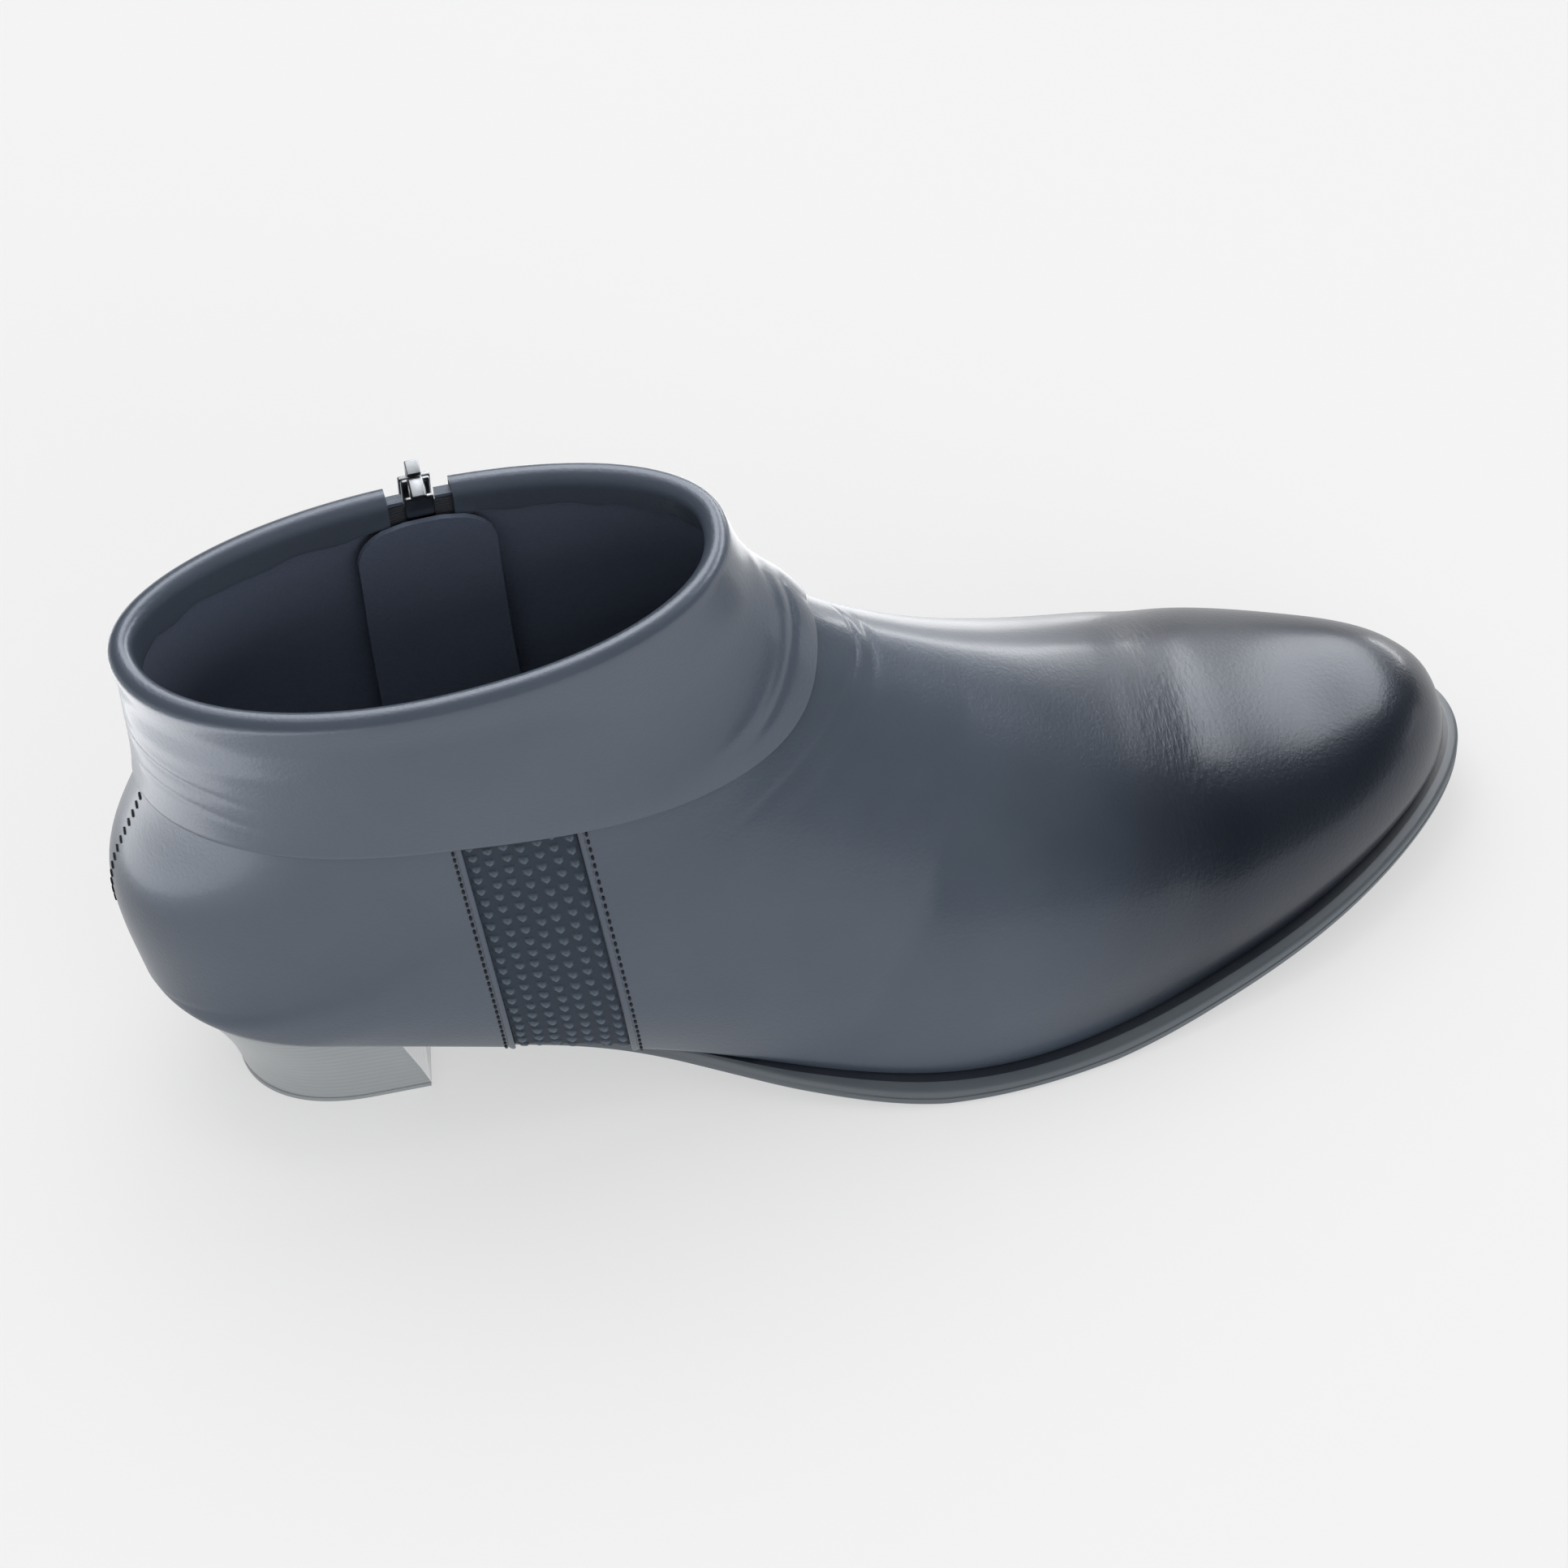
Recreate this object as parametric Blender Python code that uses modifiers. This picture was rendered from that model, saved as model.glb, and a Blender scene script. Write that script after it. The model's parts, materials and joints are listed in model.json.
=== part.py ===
"""Heeled ankle boot for the right foot, standing empty on its sole (women's EU 38).

Frame: +X to the toe, +Y to the medial side, +Z up, origin on the floor under the middle of the boot.
The tables are in millimetres, with x measured forward from the back of the heel.

The upper is lofted through a fan of sections. Each section runs from a bottom point, on the feather line or
on the back seam, up to a point of the ridge that goes from the toe to the front of the collar.
Cuff, gore and zip take their faces from the same function, moved out or in along its normals.
"""

import math
from collections import namedtuple

import bmesh
import bpy
import numpy as np
from mathutils import Matrix, Vector

PARTS = "heeled_ankle_boot"
CUTTERS = "cutters"
MM = 0.001
CLEAR = 0.3
LATERAL, MEDIAL = -1, 1

# Driving sizes of the upper, in millimetres
UPPER_LENGTH = 264.5
HEEL_BACK = 6.4
WALL = 1.8
TOE_CAP_START = 186.5
TOE_ROUNDNESS = 2.08
HEEL_CAP_START = 32.5
HEEL_ROUNDNESS = 2.1
LOW_SHARE = 0.4

# Blend of the fan round the heel seat: where along the stations, and how far
BLEND_MIDDLE = 0.72
BLEND_REACH = 0.27
BLEND_SPREAD = 0.12
BLEND_EDGE = 4.0
BLEND_OFFSETS = np.linspace(-1, 1, 9)
BLEND_WEIGHTS = (1.2 - np.abs(BLEND_OFFSETS)) / np.sum(1.2 - np.abs(BLEND_OFFSETS))

# The boot's middle lies this far from the back of the heel and from the last's middle plane
FRAME_MIDDLE = (135.42, -1.27)

# Cuff, gore and zip
CUFF_THICK = 1.2
CUFF_RETURN = 6.0
CUFF_GAP = 12.0
GORE_SUNK = 0.5
GORE_THICK = 1.0
ZIP_SLIT = 6.0
CHAIN_THICK = 1.5
TAPE_WIDTH = 20.0
TAPE_THICK = 0.6
TAPE_DROP = 7.0
TAPE_FOOT = 6.0
GUARD_WIDTH = 27.0
GUARD_THICK = 1.0
GUARD_DROP = 7.5
GUARD_FOOT = 4.0
ABOVE_RIM = 15.0

# Slider and pull
PLATE = (7.0, 1.0, 7.0)
PLATE_GAP = 2.8
POST = (2.4, PLATE_GAP + 1.0, 3.2)
BAIL_WIDTH = 1.6
BAIL_LENGTH = 6.0
BAIL_ROOM = 2.1
BAIL_BAR = 0.9
BAIL_ROOT = 0.2
POST_SETBACK = 0.4
SLIDER_RISE = 0.5
PULL_BAR = 1.1
PULL_WIDTH = 6.0
PULL_WINDOW = (3.4, 5.5)
PULL_LENGTH = 20.0
PULL_THICK = 1.0
PULL_OVERLAP = 1.0

# Insole, outsole and heel
INSOLE_INSET = 2.8
INSOLE_THICK = 2.2
LEDGE = 3.6
LEDGE_START = 88.0
LEDGE_FULL = 150.0
TOP_PIECE_THICK = 3.0
TOP_PIECE_CHAMFER = 0.6
BREAST_SKEW = 0.2
HEEL_CAP_LENGTH = 26.0
HEEL_CAP_POWER = 2.4
HEEL_MIDDLE = -0.7

# Mesh steps
FOOT_ROWS = 29
SHAFT_ROWS = 13
SEAM_WEIGHT = 0.7
COLUMNS = 37
CUFF_BAND_ROWS = 5
CUFF_ROLL_ROWS = 7
HEEL_ROWS = 15
FINE_STEPS = 4001
SHAFT_START = 0.5
PANEL_START = 0.35
PANEL_TURN = 0.2
SHARP_ANGLE = math.radians(35)
CUTTER_NEAR = 3.0
CUTTER_LENGTH = 70.0
SOLE_SHARES = np.linspace(0, 1, FOOT_ROWS)
TURNS = np.linspace(-1, 1, COLUMNS)

# The feather line, where the upper meets the sole: its height, and the middle and half width of its outline
Feather = namedtuple("Feather", "x height centre half")
FEATHER = [
    Feather(0.0, 34.5, 0.0, 26.0),
    Feather(25.0, 31.5, 0.0, 28.4),
    Feather(50.0, 27.0, -1.5, 29.2),
    Feather(75.0, 20.4, -3.3, 28.0),
    Feather(100.0, 14.0, -5.1, 27.7),
    Feather(125.0, 8.5, -6.6, 31.2),
    Feather(150.0, 5.2, -6.4, 36.4),
    Feather(175.0, 4.7, -2.5, 39.4),
    Feather(205.0, 7.9, 3.0, 38.2),
    Feather(230.0, 12.0, 6.0, 35.4),
    Feather(264.5, 17.0, 13.6, 31.3),
]

# Side view of the ridge, from the toe tip over the instep to the front of the collar
Point = namedtuple("Point", "x z")
RIDGE = [
    Point(264.5, 17.0),
    Point(262.5, 27.5),
    Point(255.0, 35.8),
    Point(235.0, 40.6),
    Point(214.5, 46.5),
    Point(193.5, 54.8),
    Point(173.5, 65.8),
    Point(154.0, 77.8),
    Point(136.5, 90.2),
    Point(124.5, 103.8),
    Point(118.0, 119.0),
]

# Side view of the back seam, from the heel seat to the back of the collar
BACK = [Point(6.4, 33.8), Point(3.1, 48.0), Point(2.6, 56.5), Point(9.2, 77.5), Point(7.3, 111.0)]

# bottom: 0 to 1 from toe to heel seat along the feather line, 1 to 2 up the back seam
# ridge: share of the ridge's length; lateral, medial: half widths; widest: height of the widest place
# tuck, fullness: exponents of the quarters below and above it; centre: y of the section's middle
Section = namedtuple("Section", "bottom ridge lateral medial widest tuck fullness centre")
SECTIONS = [
    Section(0.000, 0.000, 31.3, 31.3, 0.300, 2.00, 2.20, 13.6),
    Section(0.020, 0.100, 35.5, 35.9, 0.280, 2.00, 2.20, 10.8),
    Section(0.100, 0.240, 38.1, 39.4, 0.260, 2.00, 2.15, 8.2),
    Section(0.220, 0.380, 40.4, 40.2, 0.220, 2.00, 2.10, 5.1),
    Section(0.340, 0.500, 41.1, 39.7, 0.210, 2.00, 2.05, 2.8),
    Section(0.480, 0.620, 40.1, 36.2, 0.230, 2.00, 2.00, 0.9),
    Section(0.640, 0.700, 38.0, 33.6, 0.270, 2.00, 2.00, 0.2),
    Section(0.820, 0.755, 35.6, 32.8, 0.335, 2.50, 2.00, 0.0),
    Section(0.950, 0.785, 34.1, 32.6, 0.405, 2.95, 2.00, 0.0),
    Section(0.985, 0.803, 33.5, 32.5, 0.430, 2.60, 2.00, 0.0),
    Section(1.000, 0.820, 33.1, 32.4, 0.445, 2.45, 2.00, 0.1),
    Section(1.018, 0.837, 32.6, 32.3, 0.452, 2.40, 2.00, 0.1),
    Section(1.080, 0.853, 32.1, 32.1, 0.455, 2.30, 2.00, 0.2),
    Section(1.220, 0.873, 31.4, 31.6, 0.455, 2.20, 2.00, 0.3),
    Section(1.600, 0.930, 30.5, 29.1, 0.465, 2.00, 2.00, 0.4),
    Section(2.000, 1.000, 30.2, 24.6, 0.490, 2.00, 2.15, 0.4),
]

# Height of the cuff's lower edge at each turn away from the ridge
CuffEdge = namedtuple("CuffEdge", "turn height")
CUFF_EDGE = [
    CuffEdge(0.00, 93.0),
    CuffEdge(0.10, 89.8),
    CuffEdge(0.20, 84.1),
    CuffEdge(0.30, 79.1),
    CuffEdge(0.40, 77.1),
    CuffEdge(0.50, 78.3),
    CuffEdge(0.60, 80.3),
    CuffEdge(0.75, 80.5),
    CuffEdge(1.00, 79.8),
]

# Side view of the gore's window, from under the cuff past the feather line, and of the zip's middle
Level = namedtuple("Level", "z back front")
GORE_TOP = Level(82.5, 61.8, 83.0)
GORE_FOOT = Level(6.0, 73.0, 94.0)
ZIP_TOP = Point(67.5, 115.5)
ZIP_FOOT = Point(75.0, 34.0)

# Thickness of the outsole, and its edge from the ledge to the tread: distance out, and share of the thickness
Thickness = namedtuple("Thickness", "x sole")
THICKNESS = [
    Thickness(0.0, 2.2),
    Thickness(50.0, 2.3),
    Thickness(90.0, 3.2),
    Thickness(125.0, 4.3),
    Thickness(165.0, 5.0),
    Thickness(205.0, 4.8),
    Thickness(230.0, 4.6),
    Thickness(264.5, 4.6),
]
SoleEdge = namedtuple("SoleEdge", "out drop")
SOLE_EDGE = [
    SoleEdge(-0.5, 0.00),
    SoleEdge(0.0, 0.12),
    SoleEdge(0.0, 0.48),
    SoleEdge(-0.6, 0.54),
    SoleEdge(-0.6, 0.62),
    SoleEdge(0.0, 0.68),
    SoleEdge(-0.2, 0.90),
    SoleEdge(-0.9, 1.00),
]

# Heel block: share of the height from the seat to the floor, and back, front and half width there
HeelLevel = namedtuple("HeelLevel", "drop back front half")
HEEL_LEVELS = [
    HeelLevel(0.00, 7.0, 47.5, 27.4),
    HeelLevel(0.30, 12.5, 51.5, 23.2),
    HeelLevel(0.65, 18.5, 56.0, 19.6),
    HeelLevel(1.00, 22.8, 60.2, 17.6),
]


def spline(xs, ys):
    """Natural cubic spline through the points, as a function of an array."""
    xs, ys = np.asarray(xs, float), np.asarray(ys, float)
    gaps = np.diff(xs)
    count = len(xs)
    matrix = np.zeros((count, count))
    matrix[0, 0] = matrix[-1, -1] = 1.0
    right = np.zeros(count)
    slopes = np.diff(ys) / gaps
    for i in range(1, count - 1):
        matrix[i, i - 1 : i + 2] = gaps[i - 1], 2 * (gaps[i - 1] + gaps[i]), gaps[i]
        right[i] = 6 * (slopes[i] - slopes[i - 1])
    bend = np.linalg.solve(matrix, right)

    def value(x):
        x = np.asarray(x, float)
        i = np.clip(np.searchsorted(xs, x) - 1, 0, count - 2)
        gap = gaps[i]
        a, b = (xs[i + 1] - x) / gap, (x - xs[i]) / gap
        cubic = ((a**3 - a) * bend[i] + (b**3 - b) * bend[i + 1]) * gap**2 / 6
        return a * ys[i] + b * ys[i + 1] + cubic

    return value


def column(table, name):
    return [getattr(row, name) for row in table]


def path(table):
    """x and z of a side-view line as functions of the share of its length."""
    points = np.array(table, float)
    steps = np.linalg.norm(np.diff(points, axis=0), axis=1)
    share = np.concatenate([[0.0], np.cumsum(steps)]) / steps.sum()
    return spline(share, points[:, 0]), spline(share, points[:, 1])


feather_height = spline(column(FEATHER, "x"), column(FEATHER, "height"))
feather_centre = spline(column(FEATHER, "x"), column(FEATHER, "centre"))
feather_half = spline(column(FEATHER, "x"), column(FEATHER, "half"))
ridge_x, ridge_z = path(RIDGE)
back_x, back_z = path(BACK)
sole_thickness = spline(column(THICKNESS, "x"), column(THICKNESS, "sole"))
section_column = {
    name: spline(np.linspace(0, 1, len(SECTIONS)), column(SECTIONS, name)) for name in Section._fields
}


def rounded(share, exponent):
    """Superellipse falling from 1 at share 0 to 0 at share 1."""
    return (1 - np.clip(share, 0, 1) ** exponent) ** (1 / exponent)


def toe_cap(x):
    return rounded((x - TOE_CAP_START) / (UPPER_LENGTH - TOE_CAP_START), TOE_ROUNDNESS)


def heel_cap(x):
    return rounded((HEEL_CAP_START - x) / (HEEL_CAP_START - HEEL_BACK), HEEL_ROUNDNESS)


def fan_points(station, turn):
    """Points of the fan of sections, one for each pair of station and turn.

    station runs from 0 at the toe to 1 at the collar. turn runs from -1 at the lateral feather edge over 0 at
    the ridge to 1 at the medial feather edge; behind the heel seat both edges are the back seam.
    """
    row = Section(*(section_column[name](station) for name in Section._fields))
    side = np.where(turn < 0, -1.0, 1.0)
    rise = 1 - np.abs(turn)

    on_feather = row.bottom <= 1
    x_feather = UPPER_LENGTH - np.clip(row.bottom, 0, 1) * (UPPER_LENGTH - HEEL_BACK)
    up_back = np.clip(row.bottom - 1, 0, 1)
    bottom_x = np.where(on_feather, x_feather, back_x(up_back))
    bottom_z = np.where(on_feather, feather_height(x_feather), back_z(up_back))
    along_ridge = np.clip(row.ridge, 0, 1)
    top_x, top_z = ridge_x(along_ridge), ridge_z(along_ridge)

    feather_reach = feather_half(x_feather) * toe_cap(x_feather) * heel_cap(x_feather)
    edge = feather_centre(x_feather) + side * feather_reach
    reach = np.where(on_feather, np.maximum(side * (edge - row.centre), 0), 0)
    half = np.where(turn < 0, row.lateral, row.medial) * toe_cap(x_feather)
    half = np.maximum(half, reach * 1.0001 + 1e-6)

    tuck, power = 2 / row.tuck, 2 / row.fullness
    start = np.arcsin((reach / half) ** (1 / tuck))
    low = start + (math.pi / 2 - start) * np.clip(rise / LOW_SHARE, 0, 1)
    high = math.pi / 2 * np.clip((rise - LOW_SHARE) / (1 - LOW_SHARE), 0, 1)
    below = rise < LOW_SHARE
    climb_low = row.widest * (1 - np.clip(np.cos(low) / np.cos(start), 0, 1) ** tuck)
    climb_high = row.widest + (1 - row.widest) * np.sin(high) ** power
    climb = np.where(below, climb_low, climb_high)
    reach_out = half * np.where(below, np.sin(low) ** tuck, np.clip(np.cos(high), 0, 1) ** power)

    x = bottom_x + (top_x - bottom_x) * climb
    z = bottom_z + (top_z - bottom_z) * climb
    return np.stack([x, row.centre + side * reach_out, z], axis=-1)


def upper_points(station, turn):
    """Points of the upper's outer face: the fan, blended along its stations round the heel seat.

    The bottom points turn a corner at the seat, and the blend keeps that corner out of the side walls.
    """
    station, turn = np.broadcast_arrays(np.asarray(station, float), np.asarray(turn, float))
    near_seat = np.clip(1 - ((station - BLEND_MIDDLE) / BLEND_REACH) ** 2, 0, 1) ** 2
    spread = BLEND_SPREAD * near_seat * (1 - np.abs(turn) ** BLEND_EDGE)
    total = np.zeros((*station.shape, 3))
    for offset, weight in zip(BLEND_OFFSETS, BLEND_WEIGHTS):
        total += weight * fan_points(station + offset * spread, turn)
    return total


def unit(vectors):
    return vectors / np.maximum(np.linalg.norm(vectors, axis=-1, keepdims=True), 1e-12)


def upper_frames(station, turn):
    """Points of the upper with their outward normals and their directions towards the collar."""
    step = 1e-3
    s_low, s_high = np.maximum(station - step, 0), np.minimum(station + step, 1)
    t_low, t_high = np.maximum(turn - step, -1), np.minimum(turn + step, 1)
    climb = unit(upper_points(s_high, turn) - upper_points(s_low, turn))
    around = unit(upper_points(station, t_high) - upper_points(station, t_low))
    return upper_points(station, turn), unit(np.cross(around, climb)), climb


def upper_offset(station, turn, distance):
    """Points of the upper moved outwards by distance."""
    points, normals, _ = upper_frames(station, turn)
    return points + normals * distance


def place_frame(points):
    """Millimetres from the back of the heel to metres in the boot's frame."""
    return (np.asarray(points, float) - (*FRAME_MIDDLE, 0.0)) * MM


def clear_scene():
    """An empty scene with one collection for the parts and one for the cutters."""
    for obj in list(bpy.data.objects):
        bpy.data.objects.remove(obj, do_unlink=True)
    for name in (PARTS, CUTTERS):
        bpy.context.scene.collection.children.link(bpy.data.collections.new(name))


def material(name, colour, roughness, metallic=0.0):
    """Principled material from an sRGB colour of 0 to 255."""
    linear = [((c / 255 + 0.055) / 1.055) ** 2.4 if c > 10 else c / 255 / 12.92 for c in colour]
    result = bpy.data.materials.new(name)
    result.use_nodes = True
    shader = result.node_tree.nodes["Principled BSDF"]
    shader.inputs["Base Color"].default_value = (*linear, 1.0)
    shader.inputs["Roughness"].default_value = roughness
    shader.inputs["Metallic"].default_value = metallic
    return result


def add_object(name, bm, collection, finish=None):
    """The bmesh as an object: a part with its finish, or a cutter, which is not rendered."""
    mesh = bpy.data.meshes.new(name)
    bm.to_mesh(mesh)
    bm.free()
    mesh.shade_smooth()
    mesh.set_sharp_from_angle(angle=SHARP_ANGLE)
    obj = bpy.data.objects.new(name, mesh)
    bpy.data.collections[collection].objects.link(obj)
    if collection == CUTTERS:
        obj.hide_render = True
        obj.display_type = "WIRE"
    else:
        mesh.materials.append(finish)
    return obj


def grid_bmesh(points):
    """A grid whose vertices lie on the given rows and columns of points, with doubled points merged."""
    rows, columns = points.shape[:2]
    bm = bmesh.new()
    bmesh.ops.create_grid(bm, x_segments=columns - 1, y_segments=rows - 1, size=1.0)
    for vert, point in zip(bm.verts, place_frame(points).reshape(-1, 3)):
        vert.co = Vector(point)
    bmesh.ops.remove_doubles(bm, verts=bm.verts, dist=2e-6)
    bmesh.ops.dissolve_degenerate(bm, edges=bm.edges, dist=1e-6)
    return bm


def shell(name, points, thickness, finish):
    """An open grid, whose normals point outwards, thickened inwards."""
    obj = add_object(name, grid_bmesh(points), PARTS, finish)
    solid = obj.modifiers.new("wall", "SOLIDIFY")
    solid.thickness = thickness * MM
    solid.offset = -1.0
    solid.use_even_offset = True
    solid.use_quality_normals = True
    return obj


def loft(name, rings, finish):
    """A solid through closed rings of points, with the open ends filled."""
    closed = np.concatenate([rings, rings[:, :1]], axis=1)
    bm = grid_bmesh(closed)
    bmesh.ops.holes_fill(bm, edges=[edge for edge in bm.edges if edge.is_boundary])
    bmesh.ops.triangulate(bm, faces=[face for face in bm.faces if len(face.verts) > 4])
    bmesh.ops.recalc_face_normals(bm, faces=bm.faces)
    add_object(name, bm, PARTS, finish)


def prism(name, outline, side):
    """A cutter: a side-view outline of x and z drawn out from the boot's middle to one side."""
    bm = bmesh.new()
    near = [bm.verts.new(place_frame((x, side * CUTTER_NEAR, z))) for x, z in outline]
    face = bm.faces.new(near)
    drawn = bmesh.ops.extrude_face_region(bm, geom=[face])["geom"]
    far = [item for item in drawn if isinstance(item, bmesh.types.BMVert)]
    bmesh.ops.translate(bm, vec=Vector((0, side * CUTTER_LENGTH * MM, 0)), verts=far)
    bmesh.ops.recalc_face_normals(bm, faces=bm.faces)
    return add_object(name, bm, CUTTERS)


def boolean(obj, other, operation):
    """Cuts obj with other, keeps what they share, or joins them."""
    modifier = obj.modifiers.new(other.name, "BOOLEAN")
    modifier.object = other
    modifier.operation = operation
    modifier.solver = "EXACT"


def mesh_stations():
    """Stations of the upper's mesh rows: one at each sole ring, then up the shaft.

    The shaft's rows are even by a mean of two shares: of the back seam's length and of the stations.
    """
    fine = np.linspace(0, 1, FINE_STEPS)
    bottoms = section_column["bottom"](fine)
    foot = np.interp((1 - np.cos(math.pi * SOLE_SHARES)) / 2, bottoms, fine)
    progress = SEAM_WEIGHT * (bottoms - 1) + (1 - SEAM_WEIGHT) * (fine - foot[-1]) / (1 - foot[-1])
    return np.concatenate([foot, np.interp(np.linspace(0, 1, SHAFT_ROWS)[1:], progress, fine)])


def build_upper(finish, gore_window, zip_slit):
    """The leather shell: open at the collar and underneath, with the gore's window and the zip's slit cut."""
    obj = shell("upper", upper_points(mesh_stations()[:, None], TURNS[None, :]), WALL, finish)
    boolean(obj, gore_window, "DIFFERENCE")
    boolean(obj, zip_slit, "DIFFERENCE")


def build_cuff(finish, gap):
    """A folded band over the collar: outer face, rolled top edge and a short return inside."""
    heights = spline(column(CUFF_EDGE, "turn"), column(CUFF_EDGE, "height"))(np.abs(TURNS))
    fine = np.linspace(SHAFT_START, 1, FINE_STEPS)
    edge = np.array([np.interp(z, upper_points(fine, turn)[:, 2], fine) for z, turn in zip(heights, TURNS)])
    outside = CLEAR + CUFF_THICK
    rows = []
    for share in np.linspace(0, 1, CUFF_BAND_ROWS):
        rows.append(upper_offset(edge + (1 - edge) * share, TURNS, outside))
    rim, normal, climb = upper_frames(np.ones_like(TURNS), TURNS)
    middle = rim - normal * WALL / 2
    radius = WALL / 2 + outside
    for angle in np.linspace(0, math.pi, CUFF_ROLL_ROWS)[1:]:
        rows.append(middle + radius * (math.cos(angle) * normal + math.sin(angle) * climb))
    for depth in (CUFF_RETURN / 2, CUFF_RETURN):
        rows.append(middle - radius * normal - depth * climb)
    band = np.array(rows)
    band[:, 0] = band[:, -1] = (band[:, 0] + band[:, -1]) / 2
    obj = shell("cuff", band, CUFF_THICK, finish)
    boolean(obj, gap, "DIFFERENCE")


def gore_outline(inset):
    """Side-view outline of the gore's window, drawn in by inset on every side but its open foot."""
    top, foot = GORE_TOP, GORE_FOOT
    return [
        (top.back + inset, top.z - inset),
        (top.front - inset, top.z - inset),
        (foot.front - inset, foot.z),
        (foot.back + inset, foot.z),
    ]


def build_panel(name, side, depth, thickness, outline, finish):
    """A piece of the upper's own face on one side, sunk by depth and cut by a side-view outline."""
    rows = mesh_stations()
    rows = rows[rows >= PANEL_START]
    columns = TURNS[side * TURNS >= PANEL_TURN]
    obj = shell(name, upper_offset(rows[:, None], columns[None, :], -depth), thickness, finish)
    boolean(obj, outline, "INTERSECT")


def edge_point(share, side, out):
    """Point of the feather outline moved outwards in plan; share runs from the toe tip to the heel's back."""

    def on_outline(at):
        x = HEEL_BACK + (UPPER_LENGTH - HEEL_BACK) * (1 + math.cos(math.pi * min(max(at, 0), 1))) / 2
        half = feather_half(x) * toe_cap(x) * heel_cap(x)
        return np.array([x, feather_centre(x) + side * half])

    step = 1e-4
    along = unit(on_outline(share + step) - on_outline(share - step))
    return on_outline(share) + side * np.array([along[1], -along[0]]) * out


def ease(share):
    """Smooth step from 0 to 1."""
    share = min(max(share, 0), 1)
    return share * share * (3 - 2 * share)


def sole_heights(x):
    """Top and bottom of the outsole at x, with a flat tread where it meets the floor."""
    top = float(feather_height(x)) - CLEAR
    return top, max(top - float(sole_thickness(x)), 0.0)


def build_outsole(finish):
    """Sole from the toe to the back of the seat, with a ledge round the forefoot and a grooved edge."""
    rings = []
    for share in SOLE_SHARES:
        ring = []
        for side in (-1, 1):
            x = edge_point(share, side, 0)[0]
            top, bottom = sole_heights(x)
            ledge = LEDGE * ease((x - LEDGE_START) / (LEDGE_FULL - LEDGE_START))
            wall = []
            for row in SOLE_EDGE:
                out = ledge + row.out if ledge > -row.out else row.out * ease(ledge)
                wall.append((*edge_point(share, side, out), top + (bottom - top) * row.drop))
            ring += wall if side < 0 else wall[::-1]
        rings.append(ring)
    loft("outsole", np.array(rings), finish)


def build_insole(finish):
    """Sock board between the upper's walls, on the sole."""
    rings = []
    for share in SOLE_SHARES:
        lateral = edge_point(share, -1, -INSOLE_INSET)
        medial = edge_point(share, 1, -INSOLE_INSET)
        base = float(feather_height(lateral[0]))
        top = base + INSOLE_THICK
        rings.append([(*lateral, top), (*lateral, base), (*medial, base), (*medial, top)])
    loft("insole", np.array(rings), finish)


def heel_ring(share, levels, height_at):
    """One ring of the heel, from its back at share 0 to the breast at share 1."""
    ring = []
    for side in (-1, 1):
        wall = []
        for level in levels:
            length = level.front - level.back
            full = float(rounded(1 - share * length / HEEL_CAP_LENGTH, HEEL_CAP_POWER))
            y = HEEL_MIDDLE + side * level.half * full
            x = level.back + share * (length + BREAST_SKEW * (y - HEEL_MIDDLE))
            wall.append((x, y, height_at(level, x)))
        ring += wall if side < 0 else wall[::-1]
    return ring


def build_heel(finish, wear_finish):
    """Block heel slanting forward under the seat, and the wear piece under it."""
    base = TOP_PIECE_THICK + CLEAR

    def block_height(level, x):
        seat = sole_heights(x)[1] - CLEAR
        return seat + (base - seat) * level.drop

    shares = np.linspace(0, 1, HEEL_ROWS) ** 2
    loft("heel", np.array([heel_ring(share, HEEL_LEVELS, block_height) for share in shares]), finish)

    foot = HEEL_LEVELS[-1]
    tread = HeelLevel(
        foot.drop,
        foot.back + TOP_PIECE_CHAMFER,
        foot.front - TOP_PIECE_CHAMFER,
        foot.half - TOP_PIECE_CHAMFER,
    )
    wear_levels = {foot._replace(drop=0.0): TOP_PIECE_THICK, foot: TOP_PIECE_CHAMFER, tread: 0.0}
    rings = [heel_ring(share, wear_levels, lambda level, x: wear_levels[level]) for share in shares]
    loft("heel_top_piece", np.array(rings), wear_finish)


def zip_band(width, top, foot):
    """Side-view outline of a band along the zip, its ends moved down by top and foot."""
    along = unit(np.array(ZIP_FOOT) - np.array(ZIP_TOP))
    across = np.array([along[1], -along[0]]) * width / 2
    start = np.array(ZIP_TOP) + along * top
    end = np.array(ZIP_FOOT) + along * foot
    return [start - across, start + across, end + across, end - across]


def zip_place():
    """Frame at the top of the zip: X along the rim, Y out of the boot, Z up the zip."""
    turns = np.linspace(0, 1, FINE_STEPS)
    nearest = np.argmin(np.abs(upper_points(1.0, turns)[:, 0] - ZIP_TOP.x))
    rim, normal, climb = upper_frames(1.0, turns[nearest])
    rim_middle = rim - normal * WALL / 2
    along = unit(np.cross(normal, climb))
    rotation = Matrix((Vector(along), Vector(normal), Vector(climb))).transposed().to_4x4()
    return Matrix.Translation(Vector(place_frame(rim_middle))) @ rotation


def block(name, size, middle, place, collection, finish=None):
    """A box of size x, y and z in millimetres, set at a place."""
    bm = bmesh.new()
    bmesh.ops.create_cube(bm, size=1.0)
    bmesh.ops.scale(bm, vec=Vector(size) * MM, verts=bm.verts)
    bmesh.ops.translate(bm, vec=Vector(middle) * MM, verts=bm.verts)
    obj = add_object(name, bm, collection, finish)
    obj.matrix_world = place
    return obj


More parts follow.
